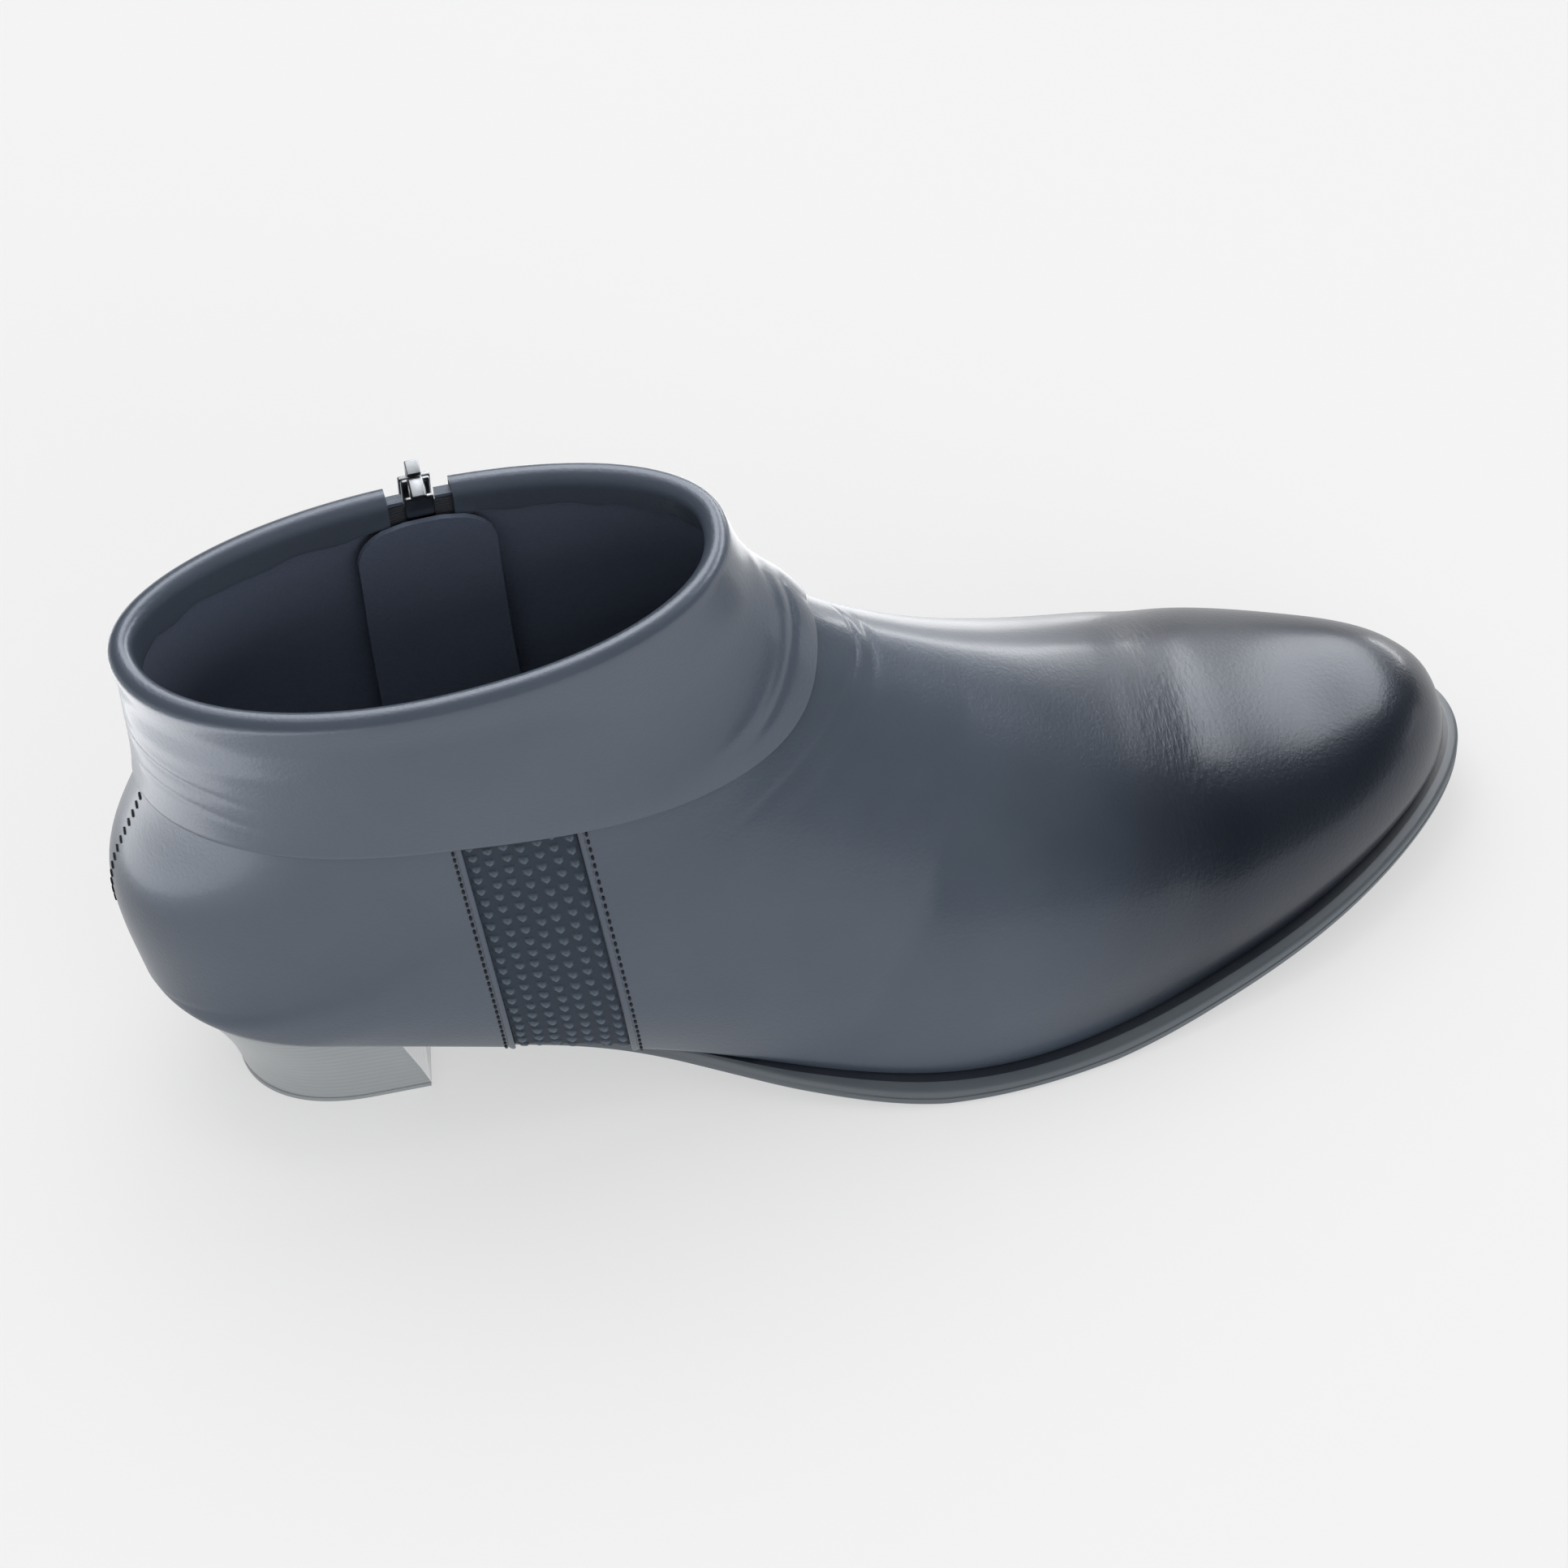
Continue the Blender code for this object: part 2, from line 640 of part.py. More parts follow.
def build_slider(finish, place):
    """Two plates on a post, with a bail on the outer plate for the pull."""
    offset = (PLATE_GAP + PLATE[1]) / 2
    outer = block("zip_slider", PLATE, (0, offset, SLIDER_RISE), place, PARTS, finish)
    leg = (BAIL_WIDTH, BAIL_ROOM + BAIL_BAR + BAIL_ROOT, BAIL_BAR)
    leg_y = offset + PLATE[1] / 2 - BAIL_ROOT + leg[1] / 2
    leg_rise = (BAIL_LENGTH - BAIL_BAR) / 2
    bar = (BAIL_WIDTH, BAIL_BAR, BAIL_LENGTH - BAIL_BAR)
    bar_y = offset + PLATE[1] / 2 + BAIL_ROOM + BAIL_BAR / 2
    post_z = SLIDER_RISE + (PLATE[2] - POST[2]) / 2 - POST_SETBACK
    pieces = {
        "slider_inner_plate": (PLATE, (0, -offset, SLIDER_RISE)),
        "slider_post": (POST, (0, 0, post_z)),
        "bail_top_leg": (leg, (0, leg_y, SLIDER_RISE + leg_rise)),
        "bail_low_leg": (leg, (0, leg_y, SLIDER_RISE - leg_rise)),
        "bail_bar": (bar, (0, bar_y, SLIDER_RISE)),
    }
    for name, (size, middle) in pieces.items():
        boolean(outer, block(name, size, middle, place, CUTTERS), "UNION")


def build_pull(finish, place):
    """Pull tab with a window round the bail and a bar through it; its origin lies on the bar's axis."""
    axis_y = PLATE_GAP / 2 + PLATE[1] + BAIL_ROOM / 2
    hinge = place @ Matrix.Translation(Vector((0, axis_y, SLIDER_RISE)) * MM)
    tab_length = PULL_LENGTH - PULL_WINDOW[1]
    tab_size = (PULL_WIDTH, PULL_THICK, tab_length)
    tab = block("zip_pull", tab_size, (0, 0, -PULL_WINDOW[1] - tab_length / 2), hinge, PARTS, finish)

    arm_width = (PULL_WIDTH - PULL_WINDOW[0]) / 2
    arm_top, arm_low = PULL_THICK / 2, -PULL_WINDOW[1] - PULL_OVERLAP
    arm_size = (arm_width, PULL_THICK, arm_top - arm_low)
    for side in (-1, 1):
        middle = (side * (PULL_WIDTH - arm_width) / 2, 0, (arm_top + arm_low) / 2)
        boolean(tab, block("pull_arm", arm_size, middle, hinge, CUTTERS), "UNION")
    bar_size = (PULL_WIDTH - PULL_OVERLAP, PULL_BAR, PULL_BAR)
    boolean(tab, block("pull_bar", bar_size, (0, 0, 0), hinge, CUTTERS), "UNION")


def main():
    clear_scene()
    leather = material("navy_leather", (58, 65, 76), 0.42)
    cuff_leather = material("cuff_leather", (66, 73, 82), 0.45)
    elastic = material("gore_elastic", (48, 56, 66), 0.85)
    lining = material("lining", (38, 44, 55), 0.8)
    sole_rubber = material("sole_rubber", (52, 58, 66), 0.55)
    heel_stack = material("stacked_heel", (84, 88, 92), 0.5)
    coil = material("zip_coil", (42, 47, 56), 0.5)
    steel = material("zip_metal", (190, 192, 195), 0.25, 1.0)

    gore_window = prism("gore_window", gore_outline(0), LATERAL)
    gore_form = prism("gore_form", gore_outline(CLEAR), LATERAL)
    chain_top = PLATE[2] / 2 - SLIDER_RISE + CLEAR
    zip_slit = prism("zip_slit", zip_band(ZIP_SLIT, -ABOVE_RIM, 0), MEDIAL)
    cuff_gap = prism("cuff_gap", zip_band(CUFF_GAP, -ABOVE_RIM, 0), MEDIAL)
    chain_form = prism("chain_form", zip_band(ZIP_SLIT - 2 * CLEAR, chain_top, -CLEAR), MEDIAL)
    tape_form = prism("tape_form", zip_band(TAPE_WIDTH, TAPE_DROP, TAPE_FOOT), MEDIAL)
    guard_form = prism("guard_form", zip_band(GUARD_WIDTH, GUARD_DROP, GUARD_FOOT), MEDIAL)

    build_upper(leather, gore_window, zip_slit)
    build_cuff(cuff_leather, cuff_gap)
    build_panel("gore", LATERAL, GORE_SUNK, GORE_THICK, gore_form, elastic)
    tape_depth = WALL + CLEAR
    guard_depth = tape_depth + TAPE_THICK + CLEAR
    build_panel("zip_chain", MEDIAL, 0.0, CHAIN_THICK, chain_form, coil)
    build_panel("zip_tape", MEDIAL, tape_depth, TAPE_THICK, tape_form, lining)
    build_panel("zip_guard", MEDIAL, guard_depth, GUARD_THICK, guard_form, lining)
    build_insole(lining)
    build_outsole(sole_rubber)
    build_heel(heel_stack, sole_rubber)
    place = zip_place()
    build_slider(steel, place)
    build_pull(steel, place)


if __name__ == "__main__":
    main()
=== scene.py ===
"""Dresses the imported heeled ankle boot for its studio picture.

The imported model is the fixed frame. Each sub-assembly is a class that rebuilds its visible faces on the
boot's own last and finishes them: leather upper, folded cuff, elastic gore, sole and heel, and the zip.
Sizes are in millimetres, with x measured forward from the back of the heel, y towards the medial side and
z up from the floor; place() turns them into metres in the frame.
"""

from __future__ import annotations

import json
import logging
import math
from contextlib import contextmanager
from dataclasses import dataclass
from enum import Enum
from typing import Any, Callable, Iterator, NamedTuple, Sequence

import bpy
import numpy as np
from mathutils import Matrix, Vector
from mathutils.kdtree import KDTree

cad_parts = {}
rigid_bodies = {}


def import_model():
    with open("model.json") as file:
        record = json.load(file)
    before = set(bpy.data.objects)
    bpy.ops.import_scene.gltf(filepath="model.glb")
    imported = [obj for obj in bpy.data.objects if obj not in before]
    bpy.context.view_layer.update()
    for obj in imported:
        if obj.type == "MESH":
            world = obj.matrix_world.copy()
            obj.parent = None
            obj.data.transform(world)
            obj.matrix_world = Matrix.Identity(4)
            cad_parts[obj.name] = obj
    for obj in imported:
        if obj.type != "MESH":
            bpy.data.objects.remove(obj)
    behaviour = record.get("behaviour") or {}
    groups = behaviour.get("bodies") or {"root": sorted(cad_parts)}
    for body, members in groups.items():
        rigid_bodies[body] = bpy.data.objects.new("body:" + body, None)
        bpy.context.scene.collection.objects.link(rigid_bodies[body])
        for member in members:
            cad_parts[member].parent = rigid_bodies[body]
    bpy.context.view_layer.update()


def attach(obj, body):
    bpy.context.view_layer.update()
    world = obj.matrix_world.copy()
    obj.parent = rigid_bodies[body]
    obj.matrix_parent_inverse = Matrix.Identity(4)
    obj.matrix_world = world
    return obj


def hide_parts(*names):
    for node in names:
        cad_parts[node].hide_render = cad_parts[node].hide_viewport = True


MM = 0.001
FRAME_MIDDLE = (135.42, -1.27)
Array = np.ndarray
log = logging.getLogger("ankle_boot")


class Side(Enum):
    """Side of the foot that a piece lies on, as the sign of y."""

    LATERAL = -1
    MEDIAL = 1


class Body(Enum):
    """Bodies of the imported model."""

    BOOT = "boot"
    PULL = "pull"


class Feather(NamedTuple):
    """Feather line at x: its height, and the middle and half width of its outline."""

    x: float
    height: float
    centre: float
    half: float


class Section(NamedTuple):
    """Section of the upper: where it starts and ends, half widths, widest height, exponents and middle."""

    bottom: float
    ridge: float
    lateral: float
    medial: float
    widest: float
    tuck: float
    fullness: float
    centre: float


class HeelLevel(NamedTuple):
    """Heel outline at a share of its height: back, front and half width."""

    drop: float
    back: float
    front: float
    half: float


class Level(NamedTuple):
    """Back and front of the gore's window at a height."""

    z: float
    back: float
    front: float


class SoleEdge(NamedTuple):
    """Point of the sole's edge: distance out from the ledge, and share of the sole's thickness."""

    out: float
    drop: float


class Crease(NamedTuple):
    """Soft trough on a sheet, from one place to another, bowed in the middle.

    start and end are (turn, row) places, and depth is below zero for a ridge.
    """

    start: tuple[float, float]
    end: tuple[float, float]
    bow: float
    width: float
    depth: float


FEATHER = (
    Feather(0.0, 34.5, 0.0, 26.0),
    Feather(25.0, 31.5, 0.0, 28.4),
    Feather(50.0, 27.0, -1.5, 29.2),
    Feather(75.0, 20.4, -3.3, 28.0),
    Feather(100.0, 14.0, -5.1, 27.7),
    Feather(125.0, 8.5, -6.6, 31.2),
    Feather(150.0, 5.2, -6.4, 36.4),
    Feather(175.0, 4.7, -2.5, 39.4),
    Feather(205.0, 7.9, 3.0, 38.2),
    Feather(230.0, 12.0, 6.0, 35.4),
    Feather(264.5, 17.0, 13.6, 31.3),
)
RIDGE = (
    (264.5, 17.0),
    (262.5, 27.5),
    (255.0, 35.8),
    (235.0, 40.6),
    (214.5, 46.5),
    (193.5, 54.8),
    (173.5, 65.8),
    (154.0, 77.8),
    (136.5, 90.2),
    (124.5, 103.8),
    (118.0, 119.0),
)
BACK = ((6.4, 33.8), (3.1, 48.0), (2.6, 56.5), (9.2, 77.5), (7.3, 111.0))
SECTIONS = (
    Section(0.000, 0.000, 31.3, 31.3, 0.300, 2.00, 2.20, 13.6),
    Section(0.020, 0.100, 35.5, 35.9, 0.280, 2.00, 2.20, 10.8),
    Section(0.100, 0.240, 38.1, 39.4, 0.260, 2.00, 2.15, 8.2),
    Section(0.220, 0.380, 40.4, 40.2, 0.220, 2.00, 2.10, 5.1),
    Section(0.340, 0.500, 41.1, 39.7, 0.210, 2.00, 2.05, 2.8),
    Section(0.480, 0.620, 40.1, 36.2, 0.230, 2.00, 2.00, 0.9),
    Section(0.640, 0.700, 38.0, 33.6, 0.270, 2.00, 2.00, 0.2),
    Section(0.820, 0.755, 35.6, 32.8, 0.335, 2.50, 2.00, 0.0),
    Section(0.950, 0.785, 34.1, 32.6, 0.405, 2.95, 2.00, 0.0),
    Section(0.985, 0.803, 33.5, 32.5, 0.430, 2.60, 2.00, 0.0),
    Section(1.000, 0.820, 33.1, 32.4, 0.445, 2.45, 2.00, 0.1),
    Section(1.018, 0.837, 32.6, 32.3, 0.452, 2.40, 2.00, 0.1),
    Section(1.080, 0.853, 32.1, 32.1, 0.455, 2.30, 2.00, 0.2),
    Section(1.220, 0.873, 31.4, 31.6, 0.455, 2.20, 2.00, 0.3),
    Section(1.600, 0.930, 30.5, 29.1, 0.465, 2.00, 2.00, 0.4),
    Section(2.000, 1.000, 30.2, 24.6, 0.490, 2.00, 2.15, 0.4),
)
CUFF_EDGE = (
    (0.00, 93.0),
    (0.10, 89.8),
    (0.20, 84.1),
    (0.30, 79.1),
    (0.40, 77.1),
    (0.50, 78.3),
    (0.60, 80.3),
    (0.75, 80.5),
    (1.00, 79.8),
)
THICKNESS = (
    (0.0, 2.2),
    (50.0, 2.3),
    (90.0, 3.2),
    (125.0, 4.3),
    (165.0, 5.0),
    (205.0, 4.8),
    (230.0, 4.6),
    (264.5, 4.6),
)
GORE_TOP = Level(82.5, 61.8, 83.0)
GORE_FOOT = Level(6.0, 73.0, 94.0)
ZIP_TOP = np.array((67.5, 115.5))
ZIP_FOOT = np.array((75.0, 34.0))
ZIP_CUT_OVERRUN = -15.0


class Spline:
    """Natural cubic spline through a table's points."""

    def __init__(self, xs: Sequence[float], ys: Sequence[float]) -> None:
        """Solves the spline's bends once."""
        self.xs, self.ys = np.asarray(xs, float), np.asarray(ys, float)
        self.gaps = np.diff(self.xs)
        count = len(self.xs)
        matrix, right = np.eye(count), np.zeros(count)
        slopes = np.diff(self.ys) / self.gaps
        for i in range(1, count - 1):
            matrix[i, i - 1 : i + 2] = self.gaps[i - 1], 2 * (self.gaps[i - 1] + self.gaps[i]), self.gaps[i]
            right[i] = 6 * (slopes[i] - slopes[i - 1])
        self.bend = np.linalg.solve(matrix, right)

    def __call__(self, x: Array | float) -> Array:
        """Value of the spline at x."""
        x = np.asarray(x, float)
        i = np.clip(np.searchsorted(self.xs, x) - 1, 0, len(self.xs) - 2)
        gap = self.gaps[i]
        a, b = (self.xs[i + 1] - x) / gap, (x - self.xs[i]) / gap
        cubic = ((a**3 - a) * self.bend[i] + (b**3 - b) * self.bend[i + 1]) * gap**2 / 6
        return a * self.ys[i] + b * self.ys[i + 1] + cubic


def unit(vectors: Array) -> Array:
    """Vectors scaled to length 1."""
    return vectors / np.maximum(np.linalg.norm(vectors, axis=-1, keepdims=True), 1e-12)


def ease(share: Array | float) -> Array:
    """Smooth step from 0 to 1."""
    share = np.clip(share, 0, 1)
    return share * share * (3 - 2 * share)


def rounded(share: Array | float, exponent: float) -> Array:
    """Superellipse falling from 1 at share 0 to 0 at share 1."""
    return (1 - np.clip(share, 0, 1) ** exponent) ** (1 / exponent)


def place(points: Array) -> Array:
    """Millimetres from the back of the heel to metres in the frame."""
    return (np.asarray(points, float) - (*FRAME_MIDDLE, 0.0)) * MM


def side_path(table: Sequence[tuple[float, float]]) -> tuple[Spline, Spline]:
    """x and z of a side-view line as splines of the share of its length."""
    points = np.array(table, float)
    steps = np.linalg.norm(np.diff(points, axis=0), axis=1)
    share = np.concatenate([[0.0], np.cumsum(steps)]) / steps.sum()
    return Spline(share, points[:, 0]), Spline(share, points[:, 1])


def table_spline(table: Sequence[tuple], name: str | int) -> Spline:
    """One column of a table as a spline of its first column."""
    values = [row[name] if isinstance(name, int) else getattr(row, name) for row in table]
    return Spline([row[0] for row in table], values)


@dataclass
class Last:
    """The boot's last: the outer face of its upper, as a fan of sections from the sole to the ridge.

    station runs from 0 at the toe to 1 at the collar. turn runs from -1 at the lateral edge over 0 at the
    ridge to 1 at the medial edge; behind the heel seat both edges are the back seam.
    """

    length: float = 264.5
    heel_back: float = 6.4
    wall: float = 1.8
    toe_cap_start: float = 186.5
    toe_roundness: float = 2.08
    heel_cap_start: float = 32.5
    heel_roundness: float = 2.1
    low_share: float = 0.4
    blend_middle: float = 0.72
    blend_reach: float = 0.27
    blend_spread: float = 0.12
    blend_edge: float = 4.0
    blend_count: int = 9
    blend_slack: float = 1.2
    seam_weight: float = 0.7
    roll_under: float = 1.2
    roll_from: float = 0.945
    roll_fade: float = 0.05
    seat_fade: float = 0.1
    forefoot_roll: float = 0.3
    waist_from: float = 0.5
    waist_reach: float = 0.2
    search_tries: int = 30
    bold_tries: int = 10
    sole_gap: float = 0.3

    def __post_init__(self) -> None:
        """Turns the tables into splines."""
        self.feather_height = table_spline(FEATHER, "height")
        self.feather_centre = table_spline(FEATHER, "centre")
        self.feather_half = table_spline(FEATHER, "half")
        self.sole_thickness = table_spline(THICKNESS, 1)
        self.ridge_x, self.ridge_z = side_path(RIDGE)
        self.back_x, self.back_z = side_path(BACK)
        places = np.linspace(0, 1, len(SECTIONS))
        self.sections = {n: Spline(places, [getattr(row, n) for row in SECTIONS]) for n in Section._fields}
        self.offsets = np.linspace(-1, 1, self.blend_count)
        self.weights = self.blend_slack - np.abs(self.offsets)
        self.weights = self.weights / self.weights.sum()

    def toe_cap(self, x: Array) -> Array:
        """How far the round of the toe narrows the outline at x."""
        return rounded((x - self.toe_cap_start) / (self.length - self.toe_cap_start), self.toe_roundness)

    def outline_half(self, x: Array) -> Array:
        """Half width of the feather outline at x, with its rounded ends."""
        back = (self.heel_cap_start - x) / (self.heel_cap_start - self.heel_back)
        return self.feather_half(x) * self.toe_cap(x) * rounded(back, self.heel_roundness)

    def fan(self, station: Array, turn: Array) -> Array:
        """Points of the plain fan of sections."""
        row = Section(*(self.sections[name](station) for name in Section._fields))
        side = np.where(turn < 0, -1.0, 1.0)
        rise = 1 - np.abs(turn)
        on_feather = row.bottom <= 1
        x_feather = self.length - np.clip(row.bottom, 0, 1) * (self.length - self.heel_back)
        up_back = np.clip(row.bottom - 1, 0, 1)
        bottom_x = np.where(on_feather, x_feather, self.back_x(up_back))
        bottom_z = np.where(on_feather, self.feather_height(x_feather), self.back_z(up_back))
        along = np.clip(row.ridge, 0, 1)
        top_x, top_z = self.ridge_x(along), self.ridge_z(along)
        edge = self.feather_centre(x_feather) + side * self.outline_half(x_feather)
        reach = np.where(on_feather, np.maximum(side * (edge - row.centre), 0), 0)
        widest = np.where(turn < 0, row.lateral, row.medial) * self.toe_cap(x_feather)
        half = np.maximum(widest, reach * 1.0001 + 1e-6)
        tuck, power = 2 / row.tuck, 2 / row.fullness
        start = np.arcsin((reach / half) ** (1 / tuck))
        low = start + (math.pi / 2 - start) * np.clip(rise / self.low_share, 0, 1)
        high = math.pi / 2 * np.clip((rise - self.low_share) / (1 - self.low_share), 0, 1)
        below = rise < self.low_share
        climb_low = row.widest * (1 - np.clip(np.cos(low) / np.cos(start), 0, 1) ** tuck)
        climb_high = row.widest + (1 - row.widest) * np.sin(high) ** power
        climb = np.where(below, climb_low, climb_high)
        out = half * np.where(below, np.sin(low) ** tuck, np.clip(np.cos(high), 0, 1) ** power)
        x = bottom_x + (top_x - bottom_x) * climb
        z = bottom_z + (top_z - bottom_z) * climb
        return np.stack([x, row.centre + side * out, z], axis=-1)

    def points(self, station: Array | float, turn: Array | float) -> Array:
        """Points of the upper's outer face: the fan, blended along its stations round the heel seat."""
        station, turn = np.broadcast_arrays(np.asarray(station, float), np.asarray(turn, float))
        near_seat = np.clip(1 - ((station - self.blend_middle) / self.blend_reach) ** 2, 0, 1) ** 2
        spread = self.blend_spread * near_seat * (1 - np.abs(turn) ** self.blend_edge)
        total = np.zeros((*station.shape, 3))
        for offset, weight in zip(self.offsets, self.weights):
            total += weight * self.fan(station + offset * spread, turn)
        return total

    def frames(self, station: Array | float, turn: Array | float) -> tuple[Array, Array, Array]:
        """Points with their outward normals and their directions towards the collar."""
        station, turn = np.broadcast_arrays(np.asarray(station, float), np.asarray(turn, float))
        step = 1e-3
        before, after = np.maximum(station - step, 0), np.minimum(station + step, 1)
        climb = unit(self.points(after, turn) - self.points(before, turn))
        left, right = np.maximum(turn - step, -1), np.minimum(turn + step, 1)
        around = unit(self.points(station, right) - self.points(station, left))
        return self.points(station, turn), unit(np.cross(around, climb)), climb

    def under(self, station: Array | float, turn: Array | float) -> Array:
        """How far the face rolls in at its lower edge: most at the waist and seat, little at the forefoot."""
        along = self.sections["bottom"](station)
        reach = np.clip((np.abs(turn) - self.roll_from) / (1 - self.roll_from), 0, 1) ** 2
        ends = ease(along / self.roll_fade) * ease((1 - along) / self.seat_fade)
        waist = ease((along - self.waist_from) / self.waist_reach)
        return self.roll_under * reach * ends * (self.forefoot_roll + (1 - self.forefoot_roll) * waist)

    def offset(self, station: Array | float, turn: Array | float, distance: Array | float) -> Array:
        """Points of the face moved outwards by distance."""
        points, normals, _ = self.frames(station, turn)
        return points + normals * (np.asarray(distance, float) - self.under(station, turn))[..., None]

    def rows(self, foot: int, shaft: int) -> Array:
        """Stations of mesh rows: along the foot by the sole's shares, then up the shaft.

        Args:
            foot: Rows from the toe to the heel seat.
            shaft: Rows from the heel seat to the collar.

        Returns:
            The stations, rising from 0 to 1.
        """
        fine = np.linspace(0, 1, 4001)
        bottoms = self.sections["bottom"](fine)
        low = np.interp((1 - np.cos(math.pi * np.linspace(0, 1, foot))) / 2, bottoms, fine)
        even = (fine - low[-1]) / (1 - low[-1])
        progress = self.seam_weight * (bottoms - 1) + (1 - self.seam_weight) * even
        return np.concatenate([low, np.interp(np.linspace(0, 1, shaft)[1:], progress, fine)])

    def locate(self, x: Array, z: Array, side: Side) -> tuple[Array, Array]:
        """Stations and turns of the side-view points on one side of the boot.

        Args:
            x: Distances from the back of the heel.
            z: Heights over the floor.
            side: Side of the boot that is looked at.

        Returns:
            Stations and turns of the same shape as x.
        """
        shape = np.shape(x)
        target = np.stack([np.ravel(x), np.ravel(z)], axis=-1)
        stations, turns = np.meshgrid(np.linspace(0.35, 1, 40), side.value * np.linspace(0.15, 0.98, 30))
        stations, turns = stations.ravel(), turns.ravel()
        samples = self.points(stations, turns)[:, [0, 2]]
        nearest = np.array([np.argmin(((samples - point) ** 2).sum(1)) for point in target])
        station, turn = stations[nearest], turns[nearest]
        step = 1e-4
        for attempt in range(self.search_tries):
            pace = 1.0 if attempt < self.bold_tries else 0.5
            here = self.points(station, turn)[:, [0, 2]]
            by_station = (self.points(station + step, turn)[:, [0, 2]] - here) / step
            by_turn = (here - self.points(station, turn - side.value * step)[:, [0, 2]]) / (side.value * step)
            miss = target - here
            det = by_station[:, 0] * by_turn[:, 1] - by_station[:, 1] * by_turn[:, 0]
            det = np.where(np.abs(det) < 1e-3, 1e-3, det)
            move_station = (miss[:, 0] * by_turn[:, 1] - miss[:, 1] * by_turn[:, 0]) / det
            move_turn = (by_station[:, 0] * miss[:, 1] - by_station[:, 1] * miss[:, 0]) / det
            station = np.clip(station + pace * np.clip(move_station, -0.04, 0.04), 0.2, 1)
            turn = np.clip(turn + pace * np.clip(move_turn, -0.06, 0.06), -1, 1)
        return station.reshape(shape), turn.reshape(shape)

    def edge(self, share: Array, side: Side, out: Array | float) -> Array:
        """Plan points of the feather outline moved outwards; share runs from toe tip to heel back."""

        def outline(at: Array) -> Array:
            """Points of the plain outline."""
            forward = (1 + np.cos(math.pi * np.clip(at, 0, 1))) / 2
            x = self.heel_back + (self.length - self.heel_back) * forward
            return np.stack([x, self.feather_centre(x) + side.value * self.outline_half(x)], axis=-1)

        step = 1e-4
        along = unit(outline(share + step) - outline(share - step))
        across = side.value * np.stack([along[..., 1], -along[..., 0]], axis=-1)
        return outline(share) + across * np.asarray(out, float)[..., None]

    def sole_heights(self, x: Array) -> tuple[Array, Array]:
        """Top and bottom of the outsole at x, with a flat tread where it meets the floor."""
        top = self.feather_height(x) - self.sole_gap
        return top, np.maximum(top - self.sole_thickness(x), 0.0)


def relief(creases: Sequence[Crease], turn: Array, row: Array, scale: tuple[float, float]) -> Array:
    """Height in millimetres that soft creases add to a sheet.

    Args:
        creases: Troughs and ridges.
        turn: Turns of the sheet's points.
        row: Row places of the sheet's points.
        scale: Millimetres for each unit of turn and of row place.

    Returns:
        Heights, below zero in a trough.
    """
    total = np.zeros(np.broadcast(turn, row).shape)
    for crease in creases:
        start, end = np.array(crease.start) * scale, np.array(crease.end) * scale
        length = float(np.linalg.norm(end - start))
        along = (end - start) / length
        dx, dy = turn * scale[0] - start[0], row * scale[1] - start[1]
        share = (dx * along[0] + dy * along[1]) / length
        across = dy * along[0] - dx * along[1] - crease.bow * 4 * share * (1 - share)
        fade = ease((share + 0.15) / 0.3) * ease((1.15 - share) / 0.3)
        total = total - crease.depth * fade * np.exp(-((across / crease.width) ** 2))
    return total


def select(*objects: bpy.types.Object) -> None:
    """Selects only these objects and makes the first one active."""
    bpy.ops.object.select_all(action="DESELECT")
    for obj in objects:
        obj.select_set(True)
    bpy.context.view_layer.objects.active = objects[0]


@contextmanager
def editing(obj: bpy.types.Object, faces: Array | None = None) -> Iterator[None]:
    """Edit mode on one object, with all of it or the given faces selected."""
    select(obj)
    bpy.context.tool_settings.mesh_select_mode = (False, False, True)
    bpy.ops.object.mode_set(mode="EDIT")
    bpy.ops.mesh.select_all(action="SELECT" if faces is None else "DESELECT")
    if faces is not None:
        bpy.ops.object.mode_set(mode="OBJECT")
        obj.data.polygons.foreach_set("select", np.asarray(faces, bool))
        bpy.ops.object.mode_set(mode="EDIT")
    yield
    bpy.ops.object.mode_set(mode="OBJECT")


def grid(name: str, points: Array) -> bpy.types.Object:
    """A grid primitive with its vertices moved to rows and columns of points.

    Args:
        name: Name of the piece.
        points: Array of rows, columns and x, y, z in millimetres.

    Returns:
        The new object.
    """
    rows, columns = points.shape[:2]
    bpy.ops.object.select_all(action="DESELECT")
    bpy.ops.mesh.primitive_grid_add(x_subdivisions=columns - 1, y_subdivisions=rows - 1, size=1.0)
    obj = bpy.context.object
    obj.name = obj.data.name = name
    obj.data.vertices.foreach_set("co", place(points).astype(np.float32).ravel())
    obj.data.update()
    return obj


def merge(obj: bpy.types.Object, distance: float = 2e-6) -> None:
    """Closes seams and poles by merging doubled vertices."""
    with editing(obj):
        bpy.ops.mesh.remove_doubles(threshold=distance)


def modify(obj: bpy.types.Object, kind: str, **settings: Any) -> None:
    """Adds a modifier with its settings and applies it."""
    select(obj)
    modifier = obj.modifiers.new(kind.lower(), kind)
    for name, value in settings.items():
        setattr(modifier, name, value)
    bpy.ops.object.modifier_apply(modifier=modifier.name)


def round_edges(obj: bpy.types.Object, width: float, segments: int, angle: float) -> None:
    """Bevels the edges that are sharper than an angle in degrees."""
    limit = {"limit_method": "ANGLE", "angle_limit": math.radians(angle)}
    modify(obj, "BEVEL", width=width * MM, segments=segments, **limit)


def thicken(obj: bpy.types.Object, thickness: float, bevel: float = 0.0, inner_slot: int = 0) -> None:
    """Gives a sheet its thickness inwards, and its edges a small round."""
    shell = {"thickness": thickness * MM, "offset": -1.0, "use_quality_normals": True}
    modify(obj, "SOLIDIFY", **shell, material_offset=inner_slot)
    if bevel:
        round_edges(obj, bevel, 3, 55)


